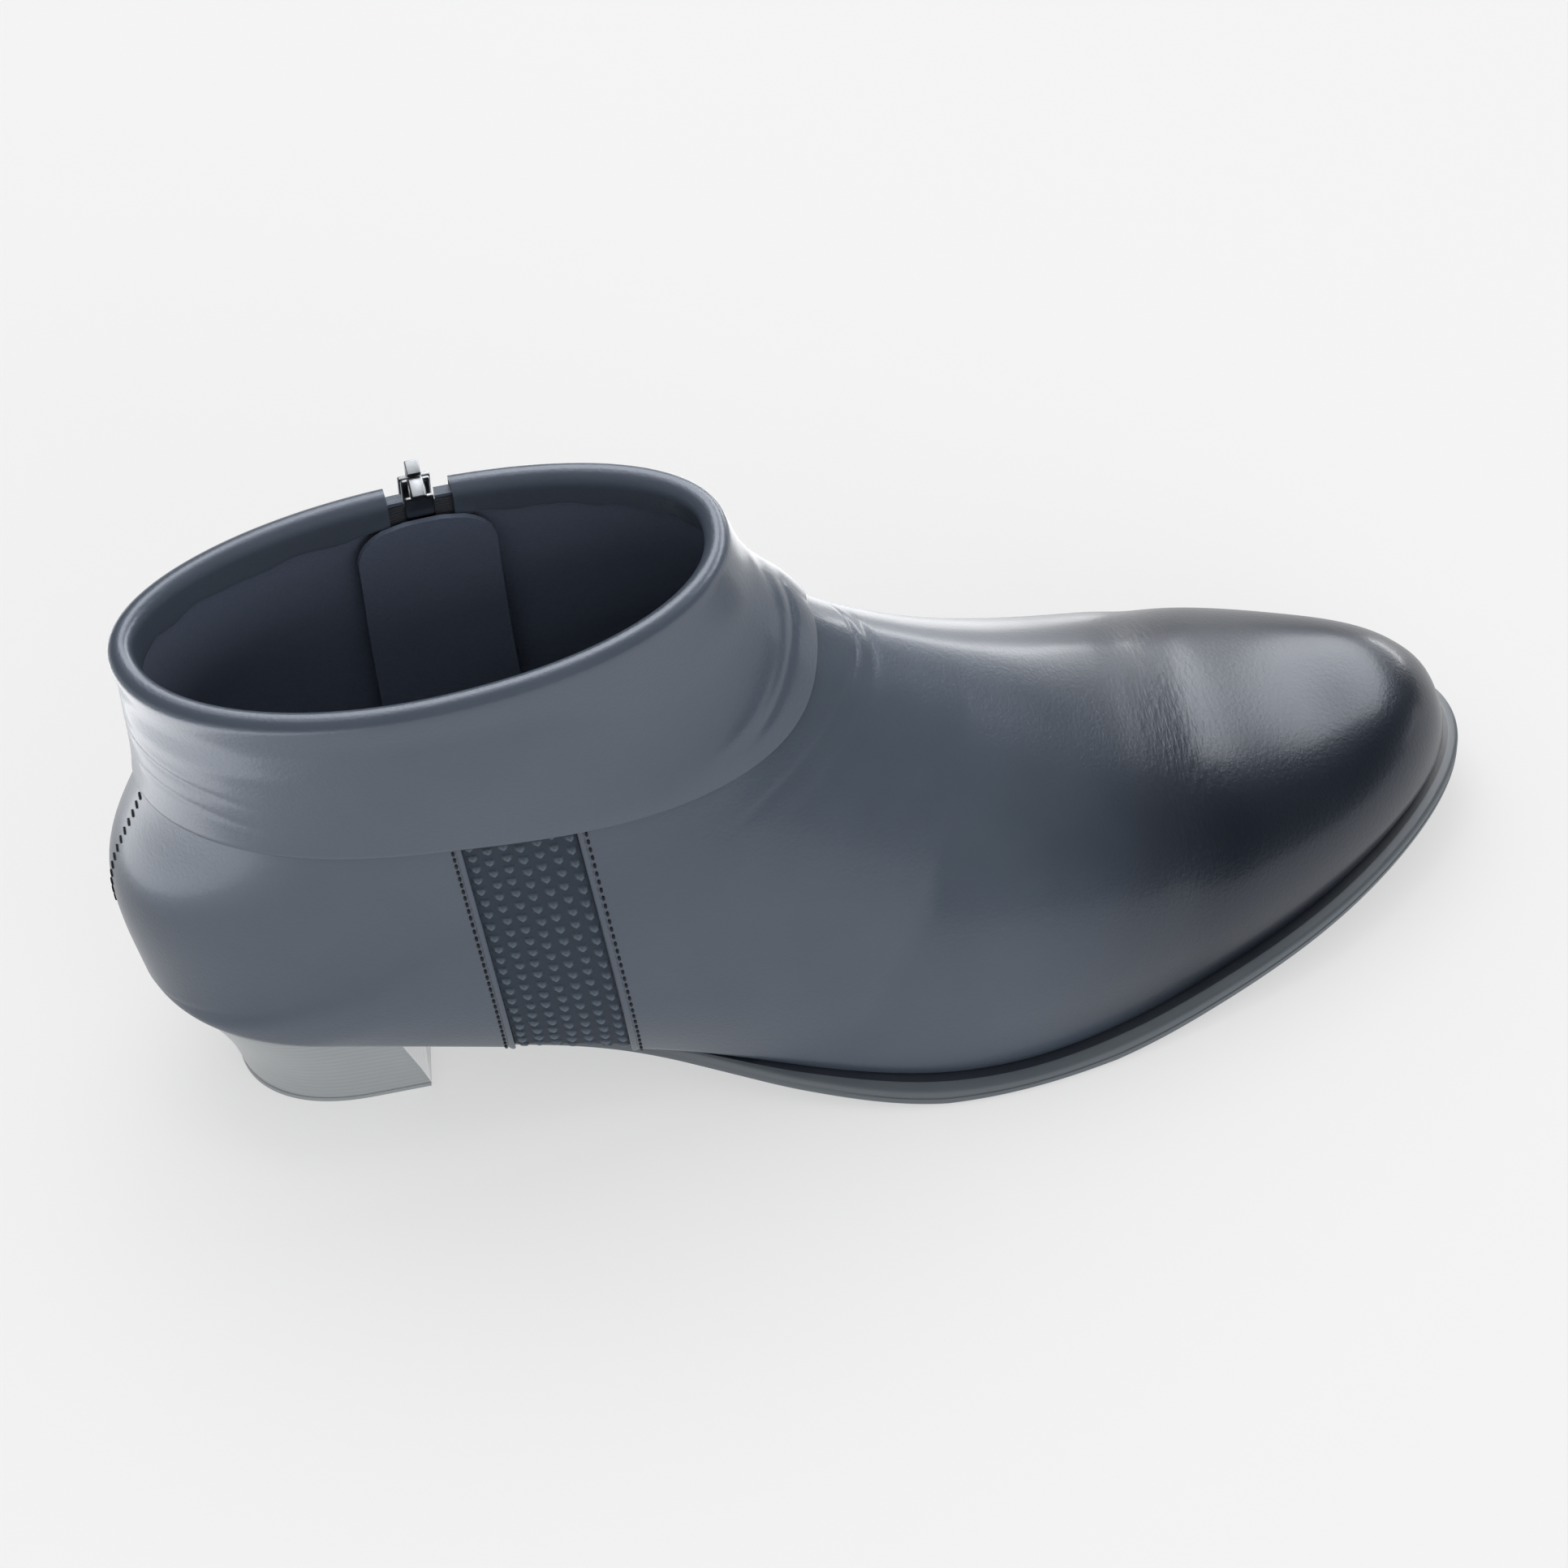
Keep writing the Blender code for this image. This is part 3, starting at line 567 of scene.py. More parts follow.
def loft(name: str, rings: Array) -> bpy.types.Object:
    """A solid through closed rings of points, its ends filled."""
    obj = grid(name, np.concatenate([rings, rings[:, :1]], axis=1))
    merge(obj)
    with editing(obj):
        bpy.ops.mesh.fill_holes(sides=0)
    with editing(obj):
        bpy.ops.mesh.normals_make_consistent(inside=False)
    return obj


def open_window(sheet: bpy.types.Object, side: Side, outline: Sequence[Sequence[float]]) -> None:
    """Cuts a straight-sided window through one side of a sheet.

    Args:
        sheet: Open sheet that is cut.
        side: Side of the boot.
        outline: Corners of the window in side view, x and z in millimetres.
    """
    margin, middle_strip = 5.0, 3.0
    corners = np.array([place((x, 0.0, z))[[0, 2]] for x, z in outline])
    middle = corners.mean(0)
    edges = []
    for a, b in zip(corners, np.roll(corners, -1, axis=0)):
        normal = unit(np.array([b[1] - a[1], a[0] - b[0]]))
        edges.append((a, normal if normal @ (middle - a) < 0 else -normal))

    def inside(grown: float) -> Array:
        """Faces of that side whose middle lies in the outline grown by so many millimetres."""
        centres = np.empty(len(sheet.data.polygons) * 3, np.float32)
        sheet.data.polygons.foreach_get("center", centres)
        centres = centres.reshape(-1, 3)
        found = centres[:, 1] * side.value > middle_strip * MM
        for a, normal in edges:
            found &= (centres[:, [0, 2]] - a) @ normal < grown * MM
        return found

    for a, normal in edges:
        with editing(sheet, inside(margin)):
            plane = {"plane_co": (a[0], 0, a[1]), "plane_no": (normal[0], 0, normal[1])}
            bpy.ops.mesh.bisect(**plane, threshold=1e-7)
    with editing(sheet, inside(0.0)):
        bpy.ops.mesh.delete(type="FACE")


def copies(name: str, pattern: bpy.types.Object, places: Sequence[Matrix]) -> bpy.types.Object:
    """Copies one modelled shape to each place and joins the copies.

    Args:
        name: Name of the joined piece.
        pattern: Shape that is copied; it is removed afterwards.
        places: Where each copy stands, in metres.

    Returns:
        The joined object.
    """
    made = []
    for matrix in places:
        copy = pattern.copy()
        copy.data = pattern.data.copy()
        copy.data.transform(matrix)
        bpy.context.scene.collection.objects.link(copy)
        made.append(copy)
    bpy.data.objects.remove(pattern, do_unlink=True)
    select(*made)
    bpy.ops.object.join()
    made[0].name = made[0].data.name = name
    return made[0]


def capsule(length: float, width: float, height: float) -> bpy.types.Object:
    """One small round-ended bar along X, used for stitches and zip teeth."""
    bpy.ops.object.select_all(action="DESELECT")
    bpy.ops.mesh.primitive_uv_sphere_add(segments=8, ring_count=6, radius=0.5, rotation=(0, math.pi / 2, 0))
    obj = bpy.context.object
    bpy.ops.object.transform_apply(location=True, rotation=True, scale=True)
    square = 0.6
    for vert in obj.data.vertices:
        x, y, z = vert.co * 2
        around = math.hypot(y, z)
        flat = (1 - abs(x) ** 4) ** 0.25 / around if around > 1e-6 else 0.0
        mix = square * flat + (1 - square)
        vert.co = Vector((x * length, y * mix * width, z * mix * height)) * MM / 2
    return obj


def box(name: str, size: Sequence[float], middle: Sequence[float], bevel: float) -> bpy.types.Object:
    """A bevelled block in millimetres at a place of the zip's own frame."""
    bpy.ops.object.select_all(action="DESELECT")
    bpy.ops.mesh.primitive_cube_add(size=1.0, location=Vector(middle) * MM, scale=Vector(size) * MM)
    obj = bpy.context.object
    obj.name = obj.data.name = name
    bpy.ops.object.transform_apply(location=True, rotation=True, scale=True)
    modify(obj, "BEVEL", width=bevel * MM, segments=3, limit_method="ANGLE")
    return obj


def combine(obj: bpy.types.Object, other: bpy.types.Object, operation: str) -> None:
    """Joins another solid to this one or cuts it away."""
    modify(obj, "BOOLEAN", object=other, operation=operation, solver="EXACT")
    bpy.data.objects.remove(other, do_unlink=True)


def colour(code: str) -> tuple[float, float, float, float]:
    """An sRGB hex code as a linear colour."""
    parts = [int(code[i : i + 2], 16) / 255 for i in (1, 3, 5)]
    linear = [((c + 0.055) / 1.055) ** 2.4 if c > 0.04045 else c / 12.92 for c in parts]
    return (*linear, 1.0)


def feed(tree: bpy.types.NodeTree, node: Any, values: dict[str | int, Any]) -> None:
    """Sets or links a node's input sockets."""
    for key, value in values.items():
        if isinstance(value, bpy.types.NodeSocket):
            tree.links.new(value, node.inputs[key])
        else:
            node.inputs[key].default_value = value


def add(tree: bpy.types.NodeTree, kind: str, inputs: dict | None = None, **settings: Any) -> Any:
    """Adds a node with its settings and feeds its inputs.

    Args:
        tree: Node tree of the material.
        kind: Type name of the node.
        inputs: Values or output sockets by input name or number.
        settings: Properties of the node.

    Returns:
        The new node.
    """
    node = tree.nodes.new(kind)
    for name, value in settings.items():
        setattr(node, name, value)
    feed(tree, node, inputs or {})
    return node


class Paint:
    """A material being mixed, with its patterns in millimetres on the object's own coordinates."""

    def __init__(self, name: str) -> None:
        """Starts an empty material."""
        self.made = bpy.data.materials.new(name)
        self.made.use_nodes = True
        self.tree = self.made.node_tree
        self.where = add(self.tree, "ShaderNodeTexCoord").outputs["Object"]

    def noise(self, grain_mm: float, detail: float, stretch: Sequence[float] | None = None) -> Any:
        """Noise with grains of about so many millimetres, longer where stretch is below 1."""
        where = self.where
        if stretch:
            mapping = {"Vector": where, "Scale": stretch}
            where = add(self.tree, "ShaderNodeMapping", mapping).outputs["Vector"]
        inputs = {"Vector": where, "Scale": 1000 / grain_mm, "Detail": detail}
        return add(self.tree, "ShaderNodeTexNoise", inputs).outputs["Fac"]

    def bands(self, pitch_mm: float, inputs: dict[str, float]) -> Any:
        """Level bands so many millimetres apart; a wave repeats at 2 pi over 20 of its scale."""
        wave = {"Vector": self.where, "Scale": 2 * math.pi / 20 * 1000 / pitch_mm, **inputs}
        return add(self.tree, "ShaderNodeTexWave", wave, bands_direction="Z").outputs["Fac"]

    def attribute(self, name: str) -> Any:
        """Value that the mesh carries under a name."""
        return add(self.tree, "ShaderNodeAttribute", attribute_name=name).outputs["Fac"]

    def join(self, operation: str, one: Any, other: Any) -> Any:
        """Two patterns added or multiplied."""
        return add(self.tree, "ShaderNodeMath", {0: one, 1: other}, operation=operation).outputs["Value"]

    def blend(self, share: Any, low: Any, high: Any) -> Any:
        """Colour between two others."""
        inputs = {"Factor": share, "A": low, "B": high}
        return add(self.tree, "ShaderNodeMix", inputs, data_type="RGBA").outputs["Result"]

    def spread(self, pattern: Any, low: float, high: float) -> Any:
        """A pattern of 0 to 1 brought between two values."""
        inputs = {"Value": pattern, "To Min": low, "To Max": high}
        return add(self.tree, "ShaderNodeMapRange", inputs).outputs["Result"]

    def bump(self, height: Any, depth_mm: float, **inputs: Any) -> Any:
        """Surface normal of a pattern so many millimetres deep."""
        values = {"Height": height, "Distance": depth_mm * MM, "Strength": 1.0, **inputs}
        return add(self.tree, "ShaderNodeBump", values).outputs["Normal"]

    def surface(self, values: dict[str, Any]) -> bpy.types.Material:
        """The material, with its shader's sockets set or linked."""
        feed(self.tree, self.tree.nodes["Principled BSDF"], values)
        return self.made


@dataclass(frozen=True)
class Leather:
    """Full-grain calf, drum-dyed and satin-finished, with painted shade that darkens it towards the toe.

    Gives a broad soft sheen over a fine pebble grain, a tone that wanders a little, and fine flex wrinkles.
    """

    name: str
    body: str = "#414954"
    light: str = "#49525e"
    painted_toe_shade: str = "#151a23"
    toe_shade_from: float = 20.0
    toe_shade_to: float = 78.0
    gleam: str = "#d3dcec"
    roughness: float = 0.36
    tone_mm: float = 14.0
    grain_mm: float = 0.75
    grain_depth: float = 0.035
    wrinkle_mm: float = 0.9
    wrinkle_depth: float = 0.2
    wrinkle_stretch: tuple[float, float, float] = (1.0, 0.24, 0.5)

    def make(self) -> bpy.types.Material:
        """Builds the material."""
        paint = Paint(self.name)
        tone = paint.noise(self.tone_mm, 4.0)
        base = paint.blend(tone, colour(self.body), colour(self.light))
        # Painted shade: the base colour darkens towards the toe, standing for the dark surroundings that the
        # toe reflects.
        along = add(paint.tree, "ShaderNodeSeparateXYZ", {"Vector": paint.where}).outputs["X"]
        span = {"Value": along, "From Min": self.toe_shade_from * MM, "From Max": self.toe_shade_to * MM}
        toe = add(paint.tree, "ShaderNodeMapRange", span, interpolation_type="SMOOTHSTEP").outputs["Result"]
        pores = {"Vector": paint.where, "Scale": 1000 / self.grain_mm}
        cells = add(paint.tree, "ShaderNodeTexVoronoi", pores, feature="SMOOTH_F1").outputs["Distance"]
        grain = paint.join("ADD", cells, paint.noise(self.grain_mm * 0.5, 2.0))
        lines = paint.noise(self.wrinkle_mm, 3.0, self.wrinkle_stretch)
        wrinkles = paint.bump(paint.join("MULTIPLY", lines, paint.attribute("flex")), self.wrinkle_depth)
        return paint.surface(
            {
                "Base Color": paint.blend(toe, base, colour(self.painted_toe_shade)),
                "Roughness": paint.spread(tone, self.roughness - 0.04, self.roughness + 0.05),
                "IOR": 1.65,
                "Specular Tint": colour(self.gleam),
                "Normal": paint.bump(grain, self.grain_depth, Normal=wrinkles),
                "Coat Weight": 0.25,
                "Coat Roughness": 0.18,
            }
        )


@dataclass(frozen=True)
class Weave:
    """Woven or knitted synthetic yarn: matt, with a fine rib of threads that runs across the strip."""

    name: str
    thread: str
    gap: str
    rib_mm: float
    depth: float
    roughness: float = 0.72
    sheen: float = 0.25
    fluff_mm: float = 0.5

    def make(self) -> bpy.types.Material:
        """Builds the material."""
        paint = Paint(self.name)
        ribs = paint.bands(self.rib_mm, {"Distortion": 0.6, "Detail": 1.0})
        fluff = paint.noise(self.fluff_mm, 3.0)
        return paint.surface(
            {
                "Base Color": paint.blend(fluff, colour(self.gap), colour(self.thread)),
                "Roughness": self.roughness,
                "IOR": 1.45,
                "Sheen Weight": self.sheen,
                "Normal": paint.bump(paint.join("ADD", ribs, fluff), self.depth),
            }
        )


@dataclass(frozen=True)
class Elastic:
    """Elastic gore cloth with moulded pips: matt dark knit, with the pips painted paler by their height as a
    painted highlight.
    """

    name: str
    knit: str = "#2f3844"
    pip_highlight: str = "#535e6a"
    knit_mm: float = 0.6
    depth: float = 0.05

    def make(self) -> bpy.types.Material:
        """Builds the material."""
        paint = Paint(self.name)
        # Painted highlight: the colour turns paler with the pips' height from the mesh.
        pip_highlight = paint.attribute("pip_highlight")
        return paint.surface(
            {
                "Base Color": paint.blend(pip_highlight, colour(self.knit), colour(self.pip_highlight)),
                "Roughness": paint.spread(pip_highlight, 0.75, 0.4),
                "IOR": 1.45,
                "Normal": paint.bump(paint.noise(self.knit_mm, 3.0), self.depth),
            }
        )


@dataclass(frozen=True)
class Rubber:
    """Moulded rubber or nylon: an even tone with a faint eggshell texture and dust-dulled gloss."""

    name: str
    body: str
    light: str
    grain_mm: float = 0.6
    depth: float = 0.02
    roughness: float = 0.46
    tone_mm: float = 9.0

    def make(self) -> bpy.types.Material:
        """Builds the material."""
        paint = Paint(self.name)
        tone = paint.noise(self.tone_mm, 5.0)
        return paint.surface(
            {
                "Base Color": paint.blend(tone, colour(self.body), colour(self.light)),
                "Roughness": paint.spread(tone, self.roughness - 0.06, self.roughness + 0.08),
                "IOR": 1.8,
                "Normal": paint.bump(paint.noise(self.grain_mm, 2.0), self.depth),
            }
        )


@dataclass(frozen=True)
class Stack:
    """Stacked heel: thin pressed layers, stained and polished, so fine level lines run round it."""

    name: str
    layer: str = "#959b9e"
    joint: str = "#898f92"
    depth: float = 0.015
    roughness: float = 0.34
    layer_mm: float = 1.6
    streak_mm: float = 1.2
    streak_stretch: tuple[float, float, float] = (0.25, 0.25, 1.0)

    def make(self) -> bpy.types.Material:
        """Builds the material."""
        paint = Paint(self.name)
        layers = paint.bands(self.layer_mm, {"Distortion": 0.5, "Detail": 2.0, "Detail Scale": 0.6})
        lines = paint.join("MULTIPLY", layers, paint.noise(self.streak_mm, 4.0, self.streak_stretch))
        return paint.surface(
            {
                "Base Color": paint.blend(lines, colour(self.joint), colour(self.layer)),
                "Roughness": self.roughness,
                "IOR": 1.5,
                "Normal": paint.bump(lines, self.depth),
                "Coat Weight": 0.35,
                "Coat Roughness": 0.15,
            }
        )


@dataclass(frozen=True)
class Metal:
    """Nickel-plated zinc casting: bright, with fine tumbling marks that break up the reflection."""

    name: str
    body: str = "#8f9296"
    roughness: float = 0.34
    mark_mm: float = 0.4
    depth: float = 0.01

    def make(self) -> bpy.types.Material:
        """Builds the material."""
        paint = Paint(self.name)
        marks = paint.noise(self.mark_mm, 3.0)
        return paint.surface(
            {
                "Base Color": colour(self.body),
                "Metallic": 1.0,
                "Roughness": paint.spread(marks, self.roughness - 0.08, self.roughness + 0.1),
                "Normal": paint.bump(marks, self.depth),
            }
        )


@dataclass(frozen=True)
class Backdrop:
    """Opal acrylic light table: matt and pale, lit a little from below so that shadows stay soft."""

    name: str
    body: str = "#a0a0a0"
    glow: float = 0.5
    tooth_mm: float = 1.5
    depth: float = 0.01

    def make(self) -> bpy.types.Material:
        """Builds the material."""
        paint = Paint(self.name)
        return paint.surface(
            {
                "Base Color": colour(self.body),
                "Roughness": 0.9,
                "Normal": paint.bump(paint.noise(self.tooth_mm, 2.0), self.depth, Strength=0.3),
                "Emission Color": (1.0, 1.0, 1.0, 1.0),
                "Emission Strength": self.glow,
                "Specular IOR Level": 0.1,
            }
        )


class Finishes:
    """All finishes of the boot, made once and shared."""

    def __init__(self) -> None:
        """Makes every material; the cuff's painted toe shade lies past the toe, so the cuff has none."""
        self.leather = Leather("navy_calf").make()
        # Painted light: this copy of the calf is a touch lighter than the upper's, standing for the brighter
        # light on the cuff.
        self.cuff = Leather(
            "navy_calf_cuff", "#434b56", "#4b535f", toe_shade_from=900, toe_shade_to=901
        ).make()
        self.lining = Weave("lining_textile", "#626b7d", "#525b6c", 0.5, 0.03, 0.8, 0.0).make()
        self.elastic = Elastic("gore_elastic").make()
        self.rubber = Rubber("sole_rubber", "#454e57", "#50585f").make()
        # Painted shade: a darker copy of the sole rubber for the flat of the ledge, standing for the dark
        # upper that the ledge reflects.
        self.ledge_shade = Rubber("sole_ledge_shade_rubber", "#1a1f27", "#222831").make()
        self.lift = Rubber("heel_rubber", "#868c90", "#949a9d").make()
        self.stack = Stack("stacked_heel").make()
        # Painted highlight: a near-white copy of the stack finish for the heel's breast, standing for the
        # bright floor that it reflects.
        self.breast = Stack("heel_breast_highlight", "#ffffff", "#f4f5f6", 0.02, 0.2).make()
        self.tape = Weave("zip_tape_polyester", "#262d38", "#1b2029", 0.6, 0.06).make()
        self.coil = Rubber("zip_coil_nylon", "#222831", "#2c333d", 0.4, 0.01, 0.35).make()
        self.metal = Metal("nickel_plate").make()
        self.thread = Weave("waxed_thread", "#141820", "#0b0d12", 0.25, 0.03, 0.6, 0.0).make()


def dress(
    obj: bpy.types.Object,
    finishes: Sequence[Any],
    nodes: Sequence[str] = (),
    body: Body = Body.BOOT,
) -> None:
    """Smooths a finished piece, gives it its finish, sets it on its body and reports it.

    Args:
        obj: The piece.
        finishes: Its materials, in slot order.
        nodes: CAD nodes that it stands for.
        body: Body that it moves with.
    """
    select(obj)
    bpy.ops.object.shade_smooth_by_angle(angle=math.radians(38))
    while len(obj.data.materials) < len(finishes):
        obj.data.materials.append(None)
    for i, finish in enumerate(finishes):
        obj.data.materials[i] = finish
    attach(obj, body.value)
    if nodes:
        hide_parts(*nodes)
    log.info("%s: %d faces on %s", obj.name, len(obj.data.polygons), body.value)


@dataclass
class Upper:
    """Leather upper in one shell, with the gore's window and the zip's slit."""

    last: Last
    finishes: Finishes
    foot_rows: int = 141
    shaft_rows: int = 61
    columns: int = 181
    slit: float = 6.0
    flex_middle: tuple[float, float] = (0.208, -0.05)
    flex_reach: tuple[float, float] = (0.022, 0.4)
    crease_scale: tuple[float, float] = (95.0, 360.0)
    creases: tuple[Crease, ...] = (
        Crease((-0.50, 0.201), (0.42, 0.201), 0.0, 5.5, 0.42),
        Crease((-0.42, 0.191), (0.30, 0.184), 2.0, 1.6, 0.05),
        Crease((-0.46, 0.221), (0.26, 0.210), 2.0, 1.9, 0.06),
        Crease((-0.30, 0.245), (0.28, 0.234), 2.0, 1.7, 0.04),
        Crease((-0.30, 0.455), (0.05, 0.475), -3.0, 3.5, 0.16),
        Crease((-0.34, 0.490), (0.10, 0.515), -3.0, 3.0, 0.12),
    )

    def build(self) -> None:
        """Models and dresses the shell."""
        last = self.last
        rows, columns = last.rows(self.foot_rows, self.shaft_rows), np.linspace(-1, 1, self.columns)
        station, turn = np.meshgrid(rows, columns, indexing="ij")
        points, normals, _ = last.frames(station, turn)
        height = relief(self.creases, turn, station, self.crease_scale) - last.under(station, turn)
        points = points + normals * height[..., None]
        sheet = grid("upper_leather", points)
        middle, reach = self.flex_middle, self.flex_reach
        spot = ((station - middle[0]) / reach[0]) ** 2 + ((turn - middle[1]) / reach[1]) ** 2
        flex = sheet.data.attributes.new("flex", "FLOAT", "POINT")
        flex.data.foreach_set("value", np.exp(-spot).astype(np.float32).ravel())
        merge(sheet)
        open_window(sheet, Side.LATERAL, gore_outline())
        open_window(sheet, Side.MEDIAL, zip_band(self.slit))
        sheet.data.materials.append(None)
        sheet.data.materials.append(None)
        thicken(sheet, last.wall, inner_slot=1)
        dress(sheet, [self.finishes.leather, self.finishes.lining], ["upper"])


def gore_outline() -> list[tuple[float, float]]:
    """Corners of the gore's window in side view."""
    top, foot = GORE_TOP, GORE_FOOT
    return [(top.back, top.z), (top.front, top.z), (foot.front, foot.z), (foot.back, foot.z)]


def zip_line(distance: Array | float, across: Array | float) -> tuple[Array, Array]:
    """Side-view x and z at a distance down the zip from its top and a distance across it."""
    along = unit(ZIP_FOOT - ZIP_TOP)
    x = ZIP_TOP[0] + along[0] * np.asarray(distance) - along[1] * np.asarray(across)
    z = ZIP_TOP[1] + along[1] * np.asarray(distance) + along[0] * np.asarray(across)
    return x, z


def zip_band(width: float) -> list[tuple[float, float]]:
    """Corners of a band along the zip, from well above its top to its foot."""
    top, end = ZIP_CUT_OVERRUN, float(np.linalg.norm(ZIP_FOOT - ZIP_TOP))
    spots = ((top, -width / 2), (top, width / 2), (end, width / 2), (end, -width / 2))
    return [tuple(float(v) for v in zip_line(*spot)) for spot in spots]


@dataclass
class Cuff:
    """Wide folded band round the collar: rolled top, hollow under the roll, wavy return inside."""

    last: Last
    finishes: Finishes
    columns: int = 361
    band_rows: int = 44
    roll_rows: int = 15
    return_rows: int = 7
    outside: float = 1.5
    thickness: float = 0.8
    inside_return: float = 6.0
    wave: float = 0.45
    gap: float = 12.0
    hollow: tuple[float, float, float] = (0.86, 0.065, 0.12)
    edge_round: float = 0.6
    edge_share: float = 0.035
    edge_rows: int = 12
    flare: float = 0.8
    flare_to: float = 0.8
    form_fade: float = 0.06
    crease_fade: float = 0.15
    crease_scale: tuple[float, float] = (140.0, 34.0)
    trim_round: float = 0.28
    creases: tuple[Crease, ...] = (
        Crease((-1.02, 0.50), (-0.80, 0.38), 0.6, 0.8, 0.16),
        Crease((-1.02, 0.56), (-0.86, 0.48), 0.5, 1.1, -0.10),
        Crease((-0.95, 0.30), (-0.78, 0.20), 0.5, 0.8, 0.14),
        Crease((-0.98, 0.66), (-0.74, 0.60), 0.6, 2.2, -0.14),
        Crease((-0.26, 0.30), (0.02, 0.52), 1.5, 1.8, 0.28),
        Crease((-0.22, 0.48), (0.06, 0.70), 1.2, 1.7, 0.22),
        Crease((-0.30, 0.42), (-0.02, 0.62), 1.4, 2.0, -0.18),
        Crease((0.55, 0.40), (0.95, 0.45), 1.0, 1.6, 0.20),
    )

    def lower_edge(self, turns: Array) -> Array:
        """Stations of the band's lower edge at each turn."""
        last = self.last
        heights = table_spline(CUFF_EDGE, 1)(np.abs(turns))
        fine = np.linspace(0.5, 1, 401)
        levels = last.points(fine[:, None], turns[None, :])[..., 2]
        return np.array([np.interp(z, levels[:, i], fine) for i, z in enumerate(heights)])

    def build(self) -> None:
        """Models and dresses the band."""
        last = self.last
        turns = np.linspace(-1, 1, self.columns)
        edge = self.lower_edge(turns)
        rows = []
        low = 2 * self.edge_share
        shares = [*np.linspace(0, low, self.edge_rows), *np.linspace(low, 1, self.band_rows)[1:]]
        for share in shares:
            middle, width, depth = self.hollow
            form = self.flare * math.sin(math.pi * min(share / self.flare_to, 1.0))
            form -= depth * math.exp(-(((share - middle) / width) ** 2))
            form *= float(ease((1 - share) / self.form_fade))
            form -= self.edge_round * (1 - float(rounded(1 - share / self.edge_share, 2.0)))
            creased = relief(self.creases, turns, np.full_like(turns, share), self.crease_scale)
            creased = creased * float(ease((1 - share) / self.crease_fade))
            rows.append(last.offset(edge + (1 - edge) * share, turns, self.outside + form + creased))
        rim, normal, climb = last.frames(np.ones_like(turns), turns)
        middle = rim - normal * last.wall / 2
        radius = last.wall / 2 + self.outside
        for angle in np.linspace(0, math.pi, self.roll_rows)[1:]:
            rows.append(middle + radius * (math.cos(angle) * normal + math.sin(angle) * climb))
        wave = np.sin(turns * 61.0) + 0.6 * np.sin(turns * 97.0 + 1.0) + 0.4 * np.sin(turns * 29.0)
        depths = (self.inside_return + self.wave * wave)[:, None]
        for share in np.linspace(0, 1, self.return_rows)[1:]:
            rows.append(middle - radius * normal - share * depths * climb)
        band = np.array(rows)
        band[:, 0] = band[:, -1] = (band[:, 0] + band[:, -1]) / 2
        sheet = grid("cuff_leather", band)
        merge(sheet)
        open_window(sheet, Side.MEDIAL, zip_band(self.gap))
        thicken(sheet, self.thickness, bevel=self.trim_round)
        dress(sheet, [self.finishes.cuff], ["cuff"])


